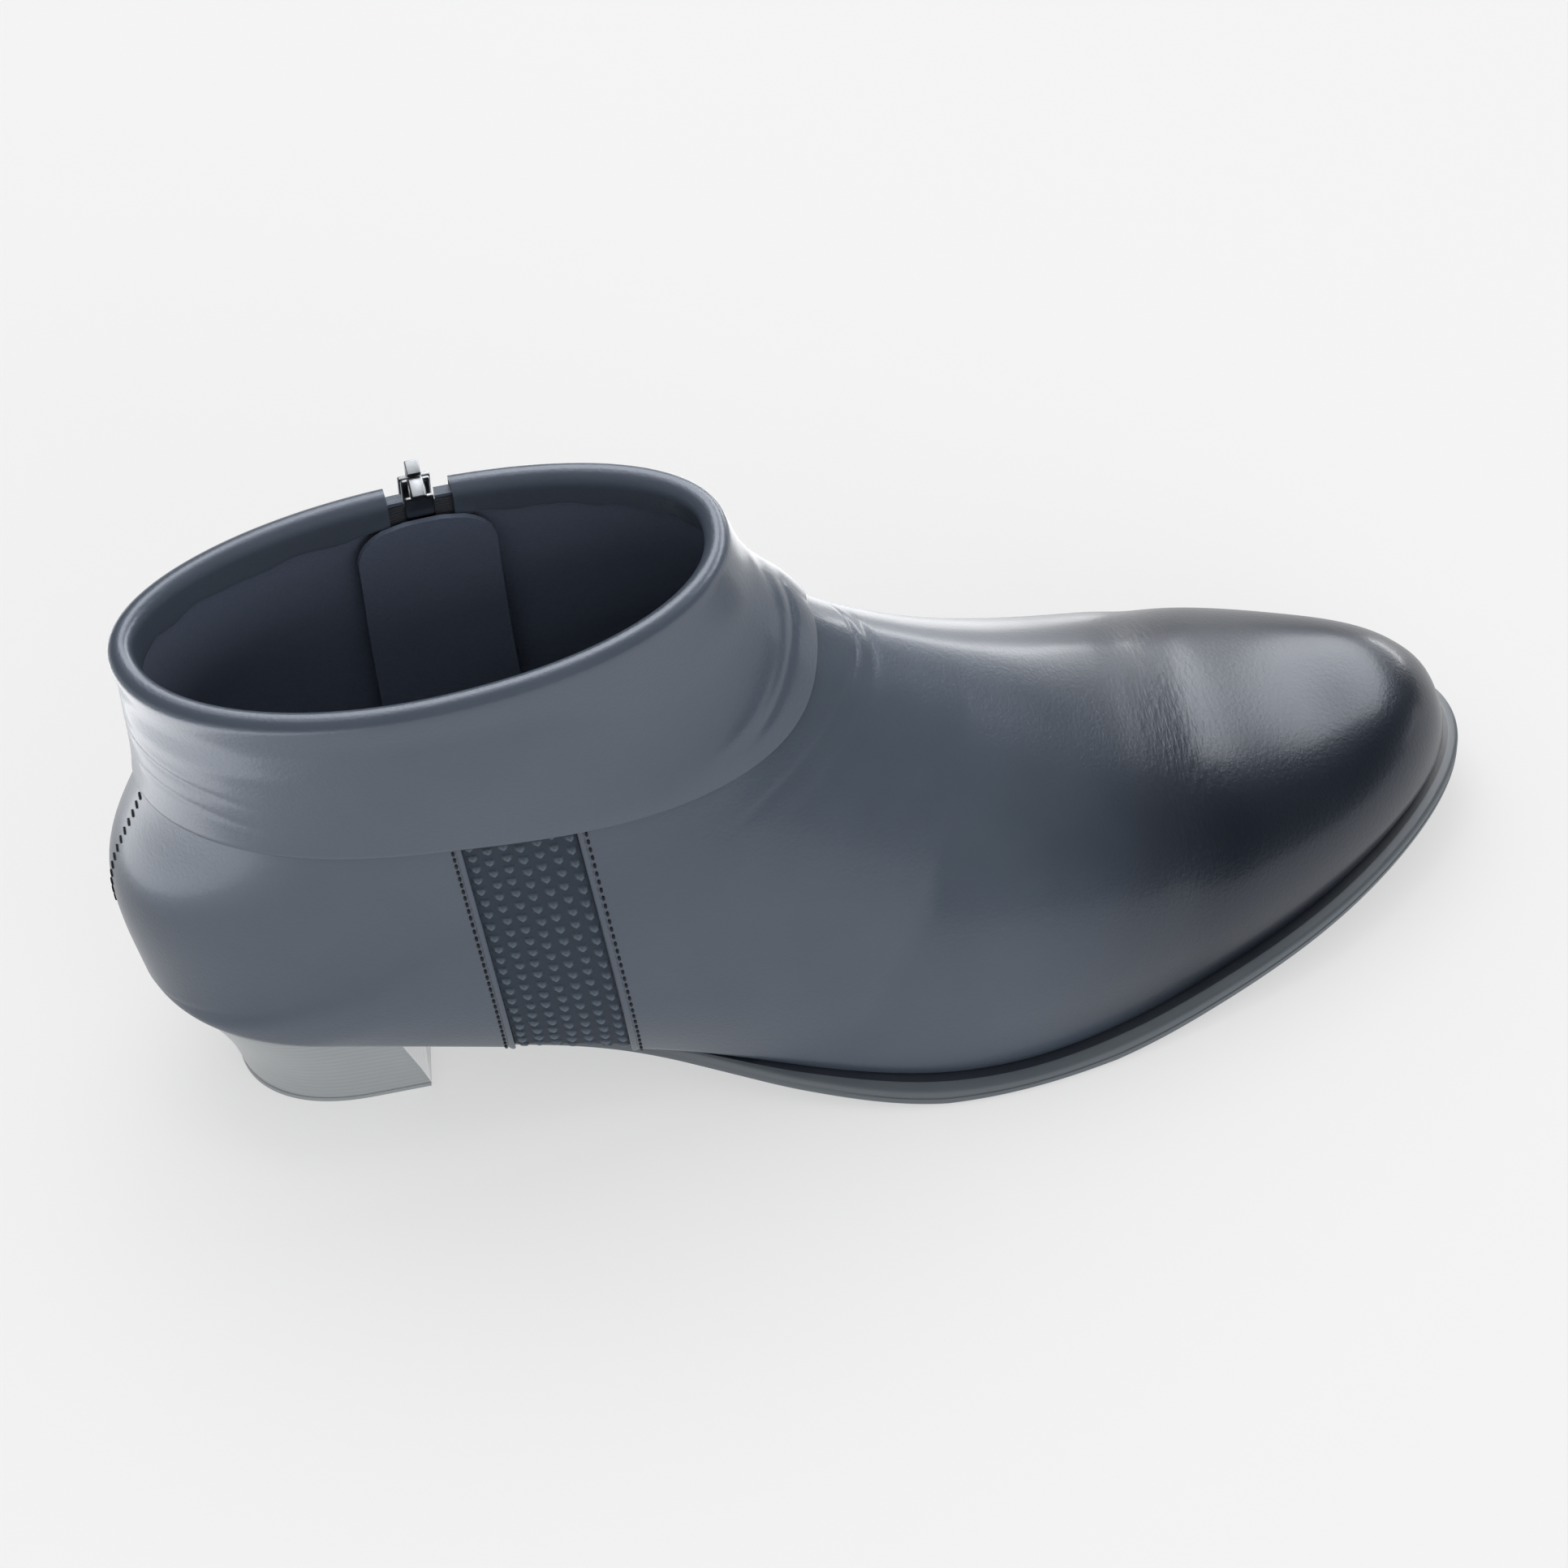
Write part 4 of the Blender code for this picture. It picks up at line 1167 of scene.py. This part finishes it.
@dataclass
class Gore:
    """Elastic side panel with rows of raised pips, between two stitched leather edges."""

    last: Last
    finishes: Finishes
    pip_columns: int = 7
    pip_rows: int = 22
    steps: int = 12
    sunk: float = 0.8
    thickness: float = 0.8
    pip_height: float = 0.6
    lean: float = 0.35
    strip_width: float = 1.15
    strip_height: float = 0.35
    strip_thickness: float = 0.3
    stitch_inset: float = 1.65
    stitch_pitch: float = 1.8
    stitch: tuple[float, float, float] = (1.1, 0.6, 0.5)
    stitch_rise: float = 0.06
    slack: float = 0.004
    foot_guess: float = 15.0

    def side_line(self, share: Array, across: Array) -> tuple[Array, Array]:
        """Side-view x and z from the window's top to the sole, across from its back to its front edge.

        Args:
            share: 0 at the top, 1 at the sole.
            across: 0 at the back edge, 1 at the front edge, and past these beside the window.

        Returns:
            x and z in millimetres.
        """
        top, foot = GORE_TOP, GORE_FOOT

        def x_at(z: Array) -> Array:
            """x of the line at a height."""
            down = (top.z - z) / (top.z - foot.z)
            back = top.back + (foot.back - top.back) * down
            return back + (top.front - top.back) * across

        end = np.full(np.shape(across), self.foot_guess)
        for _ in range(20):
            end = self.last.feather_height(x_at(end))
        z = top.z + (end + self.last.sole_gap - top.z) * share
        return x_at(z), z

    def pips(self, across: Array, share: Array) -> Array:
        """Height of the pips over the panel: small scales with a flat top and a pointed foot."""
        p = across * self.pip_columns
        q = share * self.pip_rows + self.lean * np.floor(p) + 0.12 * np.sin(np.floor(p) * 2.4)
        wander = 0.05 * np.sin(np.floor(q) * 1.7 + np.floor(p) * 2.9)
        u = (p % 1 - 0.5 + wander) / 0.34
        v = (q % 1 - 0.42) / 0.40
        body = np.maximum(np.abs(u) * 0.75 + np.maximum(v, 0) * 0.95, np.maximum(-v * 1.6, np.abs(u)))
        dome = ease((1.05 - body) / 0.5)
        notch = np.exp(-((u / 0.28) ** 2)) * ease((0.15 - v) / 0.4)
        return dome * (1 - 0.45 * notch) * (0.75 + 0.25 * ease(v + 0.5))

    def build(self) -> None:
        """Models and dresses the panel, its edges and its stitches."""
        last = self.last
        share, across = np.meshgrid(
            np.linspace(0, 1, self.pip_rows * self.steps + 1),
            np.linspace(self.slack, 1 - self.slack, self.pip_columns * self.steps + 1),
            indexing="ij",
        )
        station, turn = last.locate(*self.side_line(share, across), Side.LATERAL)
        rise = self.pip_height * self.pips(across, share) - self.sunk
        panel = grid("gore_elastic", last.offset(station, turn, rise)[::-1])
        # The pips' height is stored on the mesh for the elastic's painted highlight.
        pip_highlight = panel.data.attributes.new("pip_highlight", "FLOAT", "POINT")
        pip_highlight.data.foreach_set("value", self.pips(across, share)[::-1].astype(np.float32).ravel())
        thicken(panel, self.thickness)
        dress(panel, [self.finishes.elastic], ["gore"])
        self.build_edges()
        self.build_stitches()

    def build_edges(self) -> None:
        """Folded leather edges along the window's two sides."""
        width = GORE_TOP.front - GORE_TOP.back
        profile = np.linspace(0, 1, 9)
        share = np.linspace(0.0, 1, 121)
        for name, near, sign in (("gore_edge_back", 0.0, -1), ("gore_edge_front", 1.0, 1)):
            over, across = np.meshgrid(share, near + sign * profile * self.strip_width / width, indexing="ij")
            station, turn = self.last.locate(*self.side_line(over, across), Side.LATERAL)
            height = self.strip_height * (1 - profile**3) * ease((profile + 0.15) / 0.3) + 0.03
            points = self.last.offset(station, turn, np.broadcast_to(height, station.shape))
            strip = grid(name, points[::-1] if sign > 0 else points)
            thicken(strip, self.strip_thickness)
            dress(strip, [self.finishes.leather])

    def build_stitches(self) -> None:
        """One row of stitches outside each edge, each stitch sunk a little in the leather."""
        width = GORE_TOP.front - GORE_TOP.back
        length = GORE_TOP.z - self.foot_guess
        count = int(length / self.stitch_pitch)
        places = []
        for near, sign in ((0.0, -1), (1.0, 1)):
            share = (np.arange(count) + 0.5) / count
            across = np.full(count, near + sign * self.stitch_inset / width)
            places += self.along(share, across)
        stitches = copies("gore_stitches", capsule(*self.stitch), places)
        dress(stitches, [self.finishes.thread])

    def along(self, share: Array, across: Array) -> list[Matrix]:
        """Places on the upper with X down the line and Z out of the leather."""
        station, turn = self.last.locate(*self.side_line(share, across), Side.LATERAL)
        points, normals, _ = self.last.frames(station, turn)
        above = self.side_line(share - self.slack, across)
        nearby = self.last.points(*self.last.locate(*above, Side.LATERAL))
        rises = self.stitch_rise - self.last.under(station, turn)
        return [stand(p + n * r, n, p - q) for p, n, q, r in zip(points, normals, nearby, rises)]


def stand(point: Array, normal: Array, along: Array) -> Matrix:
    """Matrix of a small piece at a point, its X along a direction and its Z out of the face."""
    out = Vector(normal).normalized()
    run = Vector(along)
    run = (run - out * run.dot(out)).normalized()
    turn = Matrix((run, out.cross(run), out)).transposed().to_4x4()
    return Matrix.Translation(Vector(place(point))) @ turn


@dataclass
class BackSeam:
    """Closed seam down the back of the upper, oversewn with short stitches."""

    last: Last
    finishes: Finishes
    count: int = 15
    low: float = 0.2
    high: float = 0.62
    stitch: tuple[float, float, float] = (1.7, 0.6, 0.45)
    stitch_rise: float = 0.08
    slant: float = 0.35
    wander: float = 0.015

    def build(self) -> None:
        """Models and dresses the stitches."""
        fine = np.linspace(0.5, 1, 2001)
        bottoms = self.last.sections["bottom"](fine)
        station = np.interp(1 + np.linspace(self.low, self.high, self.count), bottoms, fine)
        turn = np.linspace(-1.0, -1.0 + self.wander, self.count)
        points, normals, climb = self.last.frames(station, turn)
        points = points + normals * self.stitch_rise
        along = np.cross(normals, climb) + self.slant * climb
        places = [stand(*spot) for spot in zip(points, normals, along)]
        stitches = copies("seam_stitches", capsule(*self.stitch), places)
        dress(stitches, [self.finishes.thread])


@dataclass
class Sole:
    """Outsole with its ledge, ribbed edge and tread, and the sock inside."""

    last: Last
    finishes: Finishes
    rings: int = 321
    ledge: float = 3.6
    ledge_from: float = 88.0
    ledge_to: float = 150.0
    tuck: float = 4.0
    tuck_from: float = 78.0
    tuck_to: float = 125.0
    tread_columns: int = 33
    tread_pitch: float = 5.5
    tread_depth: float = 0.6
    tread_from: float = 136.0
    tread_to: float = 243.0
    tread_fade: float = 6.0
    tread_bow: float = 7.0
    tread_border: tuple[float, float] = (0.1, 0.05)
    least_edge: float = 0.2
    sock_inset: float = 2.9
    sock_thickness: float = 1.0
    sock_rise: float = 1.2
    sock_crown: float = 0.9
    sock_columns: int = 25
    edge: tuple[SoleEdge, ...] = (
        SoleEdge(-2.0, 0.00),
        SoleEdge(-1.6, 0.03),
        SoleEdge(-0.8, 0.07),
        SoleEdge(-0.25, 0.13),
        SoleEdge(0.0, 0.24),
        SoleEdge(0.0, 0.46),
        SoleEdge(-0.16, 0.50),
        SoleEdge(-0.16, 0.56),
        SoleEdge(0.0, 0.60),
        SoleEdge(-0.05, 0.80),
        SoleEdge(-0.3, 0.93),
        SoleEdge(-0.9, 1.00),
    )

    def walls(self, side: Side, share: Array) -> Array:
        """Points of one side's edge, for each share from toe to heel and each row of the edge table."""
        x = self.last.edge(share, side, np.zeros_like(share))[:, 0]
        top, bottom = self.last.sole_heights(x)
        ledge = self.ledge * ease((x - self.ledge_from) / (self.ledge_to - self.ledge_from))
        tucked = self.tuck * (1 - ease((x - self.tuck_from) / (self.tuck_to - self.tuck_from)))
        rows = []
        for row in self.edge:
            out = ledge + row.out * np.maximum(ledge / self.ledge, self.least_edge) - tucked
            plan = self.last.edge(share, side, out)
            rows.append(np.column_stack([plan, top + (bottom - top) * row.drop]))
        return np.stack(rows, axis=1)

    def darken_ledge(self, sole: bpy.types.Object, inner: Array) -> None:
        """Paints shade on the flat of the ledge beside the upper by giving it the darker rubber.

        Args:
            sole: Outsole whose faces are set.
            inner: Points of the line where the flat meets the rounded edge.
        """
        tree = KDTree(len(inner))
        for i, point in enumerate(place(inner)):
            tree.insert(point, i)
        tree.balance()
        flat = [tree.find(vertex.co)[2] < 0.05 * MM for vertex in sole.data.vertices]
        for face in sole.data.polygons:
            face.material_index = int(all(flat[i] for i in face.vertices))

    def build(self) -> None:
        """Models and dresses the outsole and the sock."""
        share = np.linspace(0, 1, self.rings)
        lateral, medial = self.walls(Side.LATERAL, share), self.walls(Side.MEDIAL, share)
        across = np.linspace(0, 1, self.tread_columns)[1:-1]
        tread = lateral[:, -1:] + (medial[:, -1:] - lateral[:, -1:]) * across[None, :, None]
        x = tread[..., 0] + self.tread_bow * (1 - (2 * across[None, :] - 1) ** 2)
        groove = np.clip(np.cos(2 * math.pi * x / self.tread_pitch) * 2.2 - 1.0, 0, 1)
        zone = ease((tread[..., 0] - self.tread_from) / self.tread_fade)
        zone = zone * ease((self.tread_to - tread[..., 0]) / self.tread_fade)
        plain, fade = self.tread_border
        border = ease((0.5 - np.abs(across - 0.5) - plain) / fade)[None, :]
        tread[..., 2] += self.tread_depth * ease(groove) * zone * border
        sole = loft("outsole_rubber", np.concatenate([lateral, tread, medial[:, ::-1]], axis=1))
        self.darken_ledge(sole, np.concatenate([lateral[:, 0], medial[:, 0]]))
        dress(sole, [self.finishes.rubber, self.finishes.ledge_shade], ["outsole"])
        self.build_sock(share)

    def build_sock(self, share: Array) -> None:
        """Sock board inside the upper, a little crowned."""
        left = self.last.edge(share, Side.LATERAL, np.full_like(share, -self.sock_inset))
        right = self.last.edge(share, Side.MEDIAL, np.full_like(share, -self.sock_inset))
        over = np.linspace(0, 1, self.sock_columns)[None, :, None]
        plan = left[:, None] + (right - left)[:, None] * over
        crown = self.sock_crown * (1 - np.abs(2 * over[..., 0] - 1) ** 6)
        height = self.last.feather_height(left[:, 0])[:, None] + self.sock_rise + crown
        sock = grid("sock_lining", np.concatenate([plan, height[..., None]], axis=-1)[::-1, ::-1])
        merge(sock)
        thicken(sock, self.sock_thickness)
        dress(sock, [self.finishes.lining], ["insole"])


@dataclass
class Heel:
    """Stacked block heel slanting forward, and the thin lift under it."""

    last: Last
    finishes: Finishes
    rows: int = 61
    middle: float = -0.7
    skew: float = 0.2
    cap_length: float = 26.0
    cap_power: float = 2.4
    lift: float = 1.5
    gap: float = 0.12
    bevel: float = 0.35
    fine_levels: int = 15
    lift_round: float = 0.6
    breast_facing: float = 0.75
    breast_area: float = 20.0
    levels: tuple[HeelLevel, ...] = (
        HeelLevel(0.00, 10.8, 54.0, 24.2),
        HeelLevel(0.30, 15.8, 56.0, 22.1),
        HeelLevel(0.65, 20.4, 58.3, 19.7),
        HeelLevel(1.00, 23.4, 60.2, 17.5),
    )

    def rings(self, levels: Sequence[HeelLevel], height: Callable[[HeelLevel, Array], Array]) -> Array:
        """Rings from the heel's back to its breast.

        Args:
            levels: Outlines from the top to the bottom.
            height: Height of a level at x.

        Returns:
            Array of rings, points and x, y, z.
        """
        share = np.linspace(0, 1, self.rows) ** 2
        sides = []
        for side in Side:
            wall = []
            for level in levels:
                length = level.front - level.back
                half = level.half * rounded(1 - share * length / self.cap_length, self.cap_power)
                y = self.middle + side.value * half
                x = level.back + share * (length + self.skew * (y - self.middle))
                wall.append(np.column_stack([x, y, height(level, x)]))
            sides.append(np.stack(wall if side is Side.LATERAL else wall[::-1], axis=1))
        return np.concatenate(sides, axis=1)

    def build(self) -> None:
        """Models and dresses the block and its lift."""
        curves = [table_spline(self.levels, name) for name in ("back", "front", "half")]
        drops = np.linspace(0, 1, self.fine_levels)
        fine = [HeelLevel(drop, *(float(curve(drop)) for curve in curves)) for drop in drops]
        base = self.lift + self.gap

        def block_height(level: HeelLevel, x: Array) -> Array:
            """Height of a level of the block."""
            seat = self.last.sole_heights(x)[1] - self.gap
            return seat + (base - seat) * level.drop

        block = loft("heel_stack", self.rings(fine, block_height))
        round_edges(block, self.bevel, 2, 40)
        self.face_breast(block)
        dress(block, [self.finishes.stack, self.finishes.breast], ["heel"])
        self.build_lift()

    def face_breast(self, block: bpy.types.Object) -> None:
        """Paints a highlight on the flat front of the block by giving it the near-white stack finish."""
        for face in block.data.polygons:
            wide = face.area > self.breast_area * MM * MM
            face.material_index = int(face.normal.x > self.breast_facing and wide)

    def build_lift(self) -> None:
        """Thin rubber lift under the block."""
        foot = self.levels[-1]
        inset = self.lift_round
        tread = HeelLevel(2.0, foot.back + inset, foot.front - inset, foot.half - inset)
        heights = {0.0: self.lift, 1.0: inset, 2.0: 0.0}
        stack = [foot._replace(drop=0.0), foot, tread]
        piece = loft("heel_lift", self.rings(stack, lambda level, x: np.full_like(x, heights[level.drop])))
        dress(piece, [self.finishes.lift], ["heel_top_piece"])


@dataclass
class Zip:
    """Side zip on the medial side: tape, teeth, guard flap, slider and hinged pull."""

    last: Last
    finishes: Finishes
    tape_width: float = 20.0
    tape_drop: float = 1.0
    tape_foot: float = 6.0
    tape_behind: float = 0.15
    tape_thick: float = 0.3
    guard_width: float = 27.0
    guard_drop: float = 4.2
    guard_foot: float = 4.0
    guard_corner: float = 10.0
    guard_behind: float = 1.75
    guard_thick: float = 0.9
    tooth: tuple[float, float, float] = (3.0, 0.85, 1.2)
    tooth_pitch: float = 1.35
    tooth_out: float = 0.75
    tooth_sunk: float = 0.75
    plate: tuple[float, float, float] = (5.4, 1.0, 7.0)
    plate_drop: float = 1.8
    plate_gap: float = 2.8
    post: tuple[float, float, float] = (3.0, 4.8, 3.2)
    bail_width: float = 2.6
    bail_length: float = 6.0
    bail_room: float = 2.1
    bail_bar: float = 0.9
    rise: float = 0.5
    pull_width: float = 6.0
    pull_length: float = 20.0
    pull_window: tuple[float, float] = (3.4, 5.5)
    pull_thick: float = 1.0
    pull_bar: float = 1.1
    dish: tuple[float, float, float] = (3.0, 1.0, 8.5)
    dish_out: float = 0.8
    dish_z: float = -13.2

    @property
    def run(self) -> float:
        """Length of the zip from its top to its foot."""
        return float(np.linalg.norm(ZIP_FOOT - ZIP_TOP))

    def strip(self, name: str, behind: float, thick: float, down: Array, across: Array) -> bpy.types.Object:
        """A strip so far behind the upper's wall, at distances down and across the zip."""
        spots = zip_line(*np.broadcast_arrays(down, across))
        station, turn = self.last.locate(*spots, Side.MEDIAL)
        depth = np.full(station.shape, -(self.last.wall + behind))
        obj = grid(name, self.last.offset(station, turn, depth)[::-1, ::-1])
        thicken(obj, thick)
        return obj

    def build(self) -> None:
        """Models and dresses the zip."""
        over = np.linspace(-0.5, 0.5, 13)[None, :]
        down = np.linspace(self.tape_drop, self.run + self.tape_foot, 81)[:, None]
        wide = over * self.tape_width
        tape = self.strip("zip_tape_weave", self.tape_behind, self.tape_thick, down, wide)
        dress(tape, [self.finishes.tape], ["zip_tape"])

        down = np.linspace(self.guard_drop, self.run + self.guard_foot, 81)[:, None]
        short = np.clip(1 - (down - self.guard_drop) / self.guard_corner, 0, 1)
        half = self.guard_width / 2 - self.guard_corner * (1 - np.sqrt(1 - short**2))
        wide = over * 2 * half
        guard = self.strip("zip_guard_flap", self.guard_behind, self.guard_thick, down, wide)
        dress(guard, [self.finishes.lining], ["zip_guard"])
        self.build_teeth()
        frame = self.frame()
        self.build_slider(frame)
        self.build_pull(frame)

    def build_teeth(self) -> None:
        """Two rows of coil loops that mesh along the slit."""
        start = self.plate[2] / 2 - self.rise + 0.8
        count = int((self.run - start) / self.tooth_pitch)
        places = []
        for side in (-1, 1):
            down = start + self.tooth_pitch * (np.arange(count) + 0.25 * side)
            spots = zip_line(down, np.full(count, self.tooth_out * side))
            points, normals, _ = self.last.frames(*self.last.locate(*spots, Side.MEDIAL))
            middle = self.last.points(*self.last.locate(*zip_line(down, np.zeros(count)), Side.MEDIAL))
            sunk = points - normals * self.tooth_sunk
            places += [stand(*spot) for spot in zip(sunk, normals, points - middle)]
        teeth = copies("zip_teeth", capsule(*self.tooth), places)
        dress(teeth, [self.finishes.coil], ["zip_chain"])

    def frame(self) -> Matrix:
        """Frame at the top of the zip: X along the rim, Y out of the boot, Z up the zip."""
        turns = np.linspace(0, 1, 4001)
        nearest = turns[np.argmin(np.abs(self.last.points(1.0, turns)[:, 0] - ZIP_TOP[0]))]
        rim, normal, climb = self.last.frames(1.0, nearest)
        along = unit(np.cross(normal, climb))
        turn = Matrix((Vector(along), Vector(normal), Vector(climb))).transposed().to_4x4()
        return Matrix.Translation(Vector(place(rim - normal * self.last.wall / 2))) @ turn

    def build_slider(self, frame: Matrix) -> None:
        """Slider: two plates on a post, and a bail for the pull on the outer plate."""
        offset = (self.plate_gap + self.plate[1]) / 2
        plate_z = self.rise - self.plate_drop
        slider = box("zip_slider_cast", self.plate, (0, offset, plate_z), 0.4)
        combine(slider, box("inner_plate", self.plate, (0, -offset, plate_z), 0.4), "UNION")
        post_z = plate_z + (self.plate[2] - self.post[2]) / 2 + 0.5
        combine(slider, box("slider_post", self.post, (0, 0, post_z), 0.5), "UNION")
        leg = (self.bail_width, self.bail_room + self.bail_bar + 0.2, self.bail_bar)
        leg_y = offset + self.plate[1] / 2 - 0.2 + leg[1] / 2
        leg_rise = (self.bail_length - self.bail_bar) / 2
        for sign in (-1, 1):
            combine(slider, box("bail_leg", leg, (0, leg_y, self.rise + sign * leg_rise), 0.25), "UNION")
        bar = (self.bail_width, self.bail_bar, self.bail_length)
        bar_y = offset + self.plate[1] / 2 + self.bail_room + self.bail_bar / 2
        combine(slider, box("bail_bar", bar, (0, bar_y, self.rise), 0.3), "UNION")
        slider.data.transform(frame)
        dress(slider, [self.finishes.metal], ["zip_slider"])

    def build_pull(self, frame: Matrix) -> None:
        """Pull tab with rounded ends, a window round the bail and a bar through it."""
        axis_y = self.plate_gap / 2 + self.plate[1] + self.bail_room / 2
        hinge = frame @ Matrix.Translation(Vector((0, axis_y, self.rise)) * MM)
        top = self.pull_thick / 2
        size = (self.pull_width, self.pull_thick, self.pull_length + top)
        tab = box("zip_pull_tab", size, (0, 0, top - size[2] / 2), 0.3)
        window = (self.pull_window[0], 4.0, self.pull_window[1] - self.pull_bar / 2)
        window_z = -self.pull_bar / 2 - window[2] / 2
        combine(tab, box("pull_window", window, (0, 0, window_z), 0.4), "DIFFERENCE")
        for sign in (-1, 1):
            dish = box("pull_dish", self.dish, (0, sign * self.dish_out, self.dish_z), 0.45)
            combine(tab, dish, "DIFFERENCE")
        tab.data.transform(hinge)
        dress(tab, [self.finishes.metal], ["zip_pull"], Body.PULL)


class Reach(Enum):
    """What a lamp does."""

    LIGHT = "light"
    GLOSS = "gloss"
    BOTH = "both"


class Lamp(NamedTuple):
    """Soft box: its size in metres, power in watts, distance, azimuth and elevation, and what it points at.

    Its reach tells whether it lights, shows as a reflection, or both.
    """

    name: str
    width: float
    height: float
    power: float
    distance: float
    azimuth: float
    elevation: float
    aim: tuple[float, float, float]
    roll: float = 0.0
    reach: Reach = Reach.BOTH


@dataclass
class Studio:
    """Pale floor, soft light and the camera."""

    azimuth: float = -14.18
    elevation: float = 47.5
    distance: float = 1344.7
    aim: tuple[float, float, float] = (-7.42, -6.63, 55.0)
    lens: float = 165.97
    sensor: float = 36.0
    dome_to: float = 0.7
    dome_low: float = 0.3
    dome_high: float = 0.95
    lamps: tuple[Lamp, ...] = (
        Lamp("overhead_box", 1.1, 1.1, 7.5, 1.7, -160.0, 70.0, (0.0, 0.0, 0.0)),
        Lamp("front_box", 1.0, 0.7, 4.8, 1.6, 12.0, 26.0, (-0.03, 0.0, 0.05), 0.0, Reach.LIGHT),
        Lamp("toe_box", 1.06, 0.31, 6.4, 0.9, 136.1, 38.5, (0.092, 0.004, 0.042), 143.7, Reach.GLOSS),
        Lamp("crest_box", 0.45, 0.75, 5.0, 0.9, 168.0, 43.0, (-0.06, 0.0, 0.11), 0.0, Reach.GLOSS),
        Lamp("rear_box", 0.60, 0.16, 4.0, 2.0, 138.0, 1.0, (0.02, 0.0, 0.06), 0.0, Reach.GLOSS),
        Lamp("rear_card", 0.16, 0.50, 0.55, 0.44, -14.0, -89.0, (0.072, 0.357, 0.45), 0.0, Reach.GLOSS),
        Lamp("right_box", 0.60, 0.20, 0.6, 1.5, 90.0, 4.0, (0.1, 0.0, 0.04), 0.0, Reach.GLOSS),
        Lamp("left_card", 0.40, 0.05, 0.18, 0.44, -90.0, -89.0, (-0.162, -0.05, 0.495), 0.0, Reach.GLOSS),
    )

    @staticmethod
    def direction(azimuth: float, elevation: float) -> Vector:
        """Unit vector from the object towards a place round it."""
        a, e = math.radians(azimuth), math.radians(elevation)
        return Vector((math.sin(a) * math.cos(e), -math.cos(a) * math.cos(e), math.sin(e)))

    def build_floor(self) -> None:
        """A wide pale floor."""
        bpy.ops.object.select_all(action="DESELECT")
        bpy.ops.mesh.primitive_plane_add(size=12.0, location=(0, 0, -0.05 * MM))
        floor = bpy.context.object
        floor.name = "studio_floor"
        bpy.ops.object.transform_apply(location=True, rotation=True, scale=True)
        floor.data.materials.append(Backdrop("opal_acrylic").make())

    def build_light(self) -> None:
        """Soft boxes and a dome that brightens from the horizon up."""
        for lamp in self.lamps:
            light = bpy.data.lights.new(lamp.name, "AREA")
            light.shape = "RECTANGLE"
            light.size, light.size_y, light.energy = lamp.width, lamp.height, lamp.power
            obj = bpy.data.objects.new(lamp.name, light)
            bpy.context.scene.collection.objects.link(obj)
            obj.visible_diffuse = lamp.reach is not Reach.GLOSS
            obj.visible_glossy = lamp.reach is not Reach.LIGHT
            back = self.direction(lamp.azimuth, lamp.elevation)
            level = Vector((0, 0, 1)).cross(back).normalized()
            turn = math.radians(lamp.roll)
            across = math.cos(turn) * level + math.sin(turn) * back.cross(level)
            face = Matrix((across, back.cross(across), back)).transposed().to_4x4()
            obj.matrix_world = Matrix.Translation(Vector(lamp.aim) + back * lamp.distance) @ face
        world = bpy.data.worlds.new("studio_dome")
        world.use_nodes = True
        tree = world.node_tree
        where = add(tree, "ShaderNodeTexCoord").outputs["Generated"]
        height = add(tree, "ShaderNodeSeparateXYZ", {"Vector": where}).outputs["Z"]
        span = {"Value": height, "From Min": 0.0, "From Max": self.dome_to}
        levels = {"To Min": self.dome_low, "To Max": self.dome_high}
        fall = add(tree, "ShaderNodeMapRange", {**span, **levels}, interpolation_type="SMOOTHSTEP")
        feed(tree, tree.nodes["Background"], {"Color": (1, 1, 1, 1), "Strength": fall.outputs["Result"]})
        world.cycles_visibility.glossy = False
        bpy.context.scene.world = world

    def build_camera(self) -> None:
        """Camera at the photograph's angle."""
        data = bpy.data.cameras.new("studio_camera")
        data.lens, data.sensor_width = self.lens, self.sensor
        camera = bpy.data.objects.new("studio_camera", data)
        bpy.context.scene.collection.objects.link(camera)
        back = self.direction(self.azimuth, self.elevation)
        right = Vector((math.cos(math.radians(self.azimuth)), math.sin(math.radians(self.azimuth)), 0))
        turn = Matrix((right, back.cross(right), back)).transposed().to_4x4()
        camera.matrix_world = Matrix.Translation((Vector(self.aim) + back * self.distance) * MM) @ turn
        bpy.context.scene.camera = camera

    def build(self) -> None:
        """Sets the stage."""
        self.build_floor()
        self.build_light()
        self.build_camera()
        view = bpy.context.scene.view_settings
        view.view_transform, view.look = "Standard", "None"


def main() -> None:
    """Builds every sub-assembly on the frame, in order."""
    logging.basicConfig(level=logging.INFO, format="%(name)s: %(message)s")
    for obj in list(bpy.data.objects):
        bpy.data.objects.remove(obj, do_unlink=True)
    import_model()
    last, finishes = Last(), Finishes()
    Upper(last, finishes).build()
    Cuff(last, finishes).build()
    Gore(last, finishes).build()
    BackSeam(last, finishes).build()
    Sole(last, finishes).build()
    Heel(last, finishes).build()
    Zip(last, finishes).build()
    Studio().build()


if __name__ == "__main__":
    main()
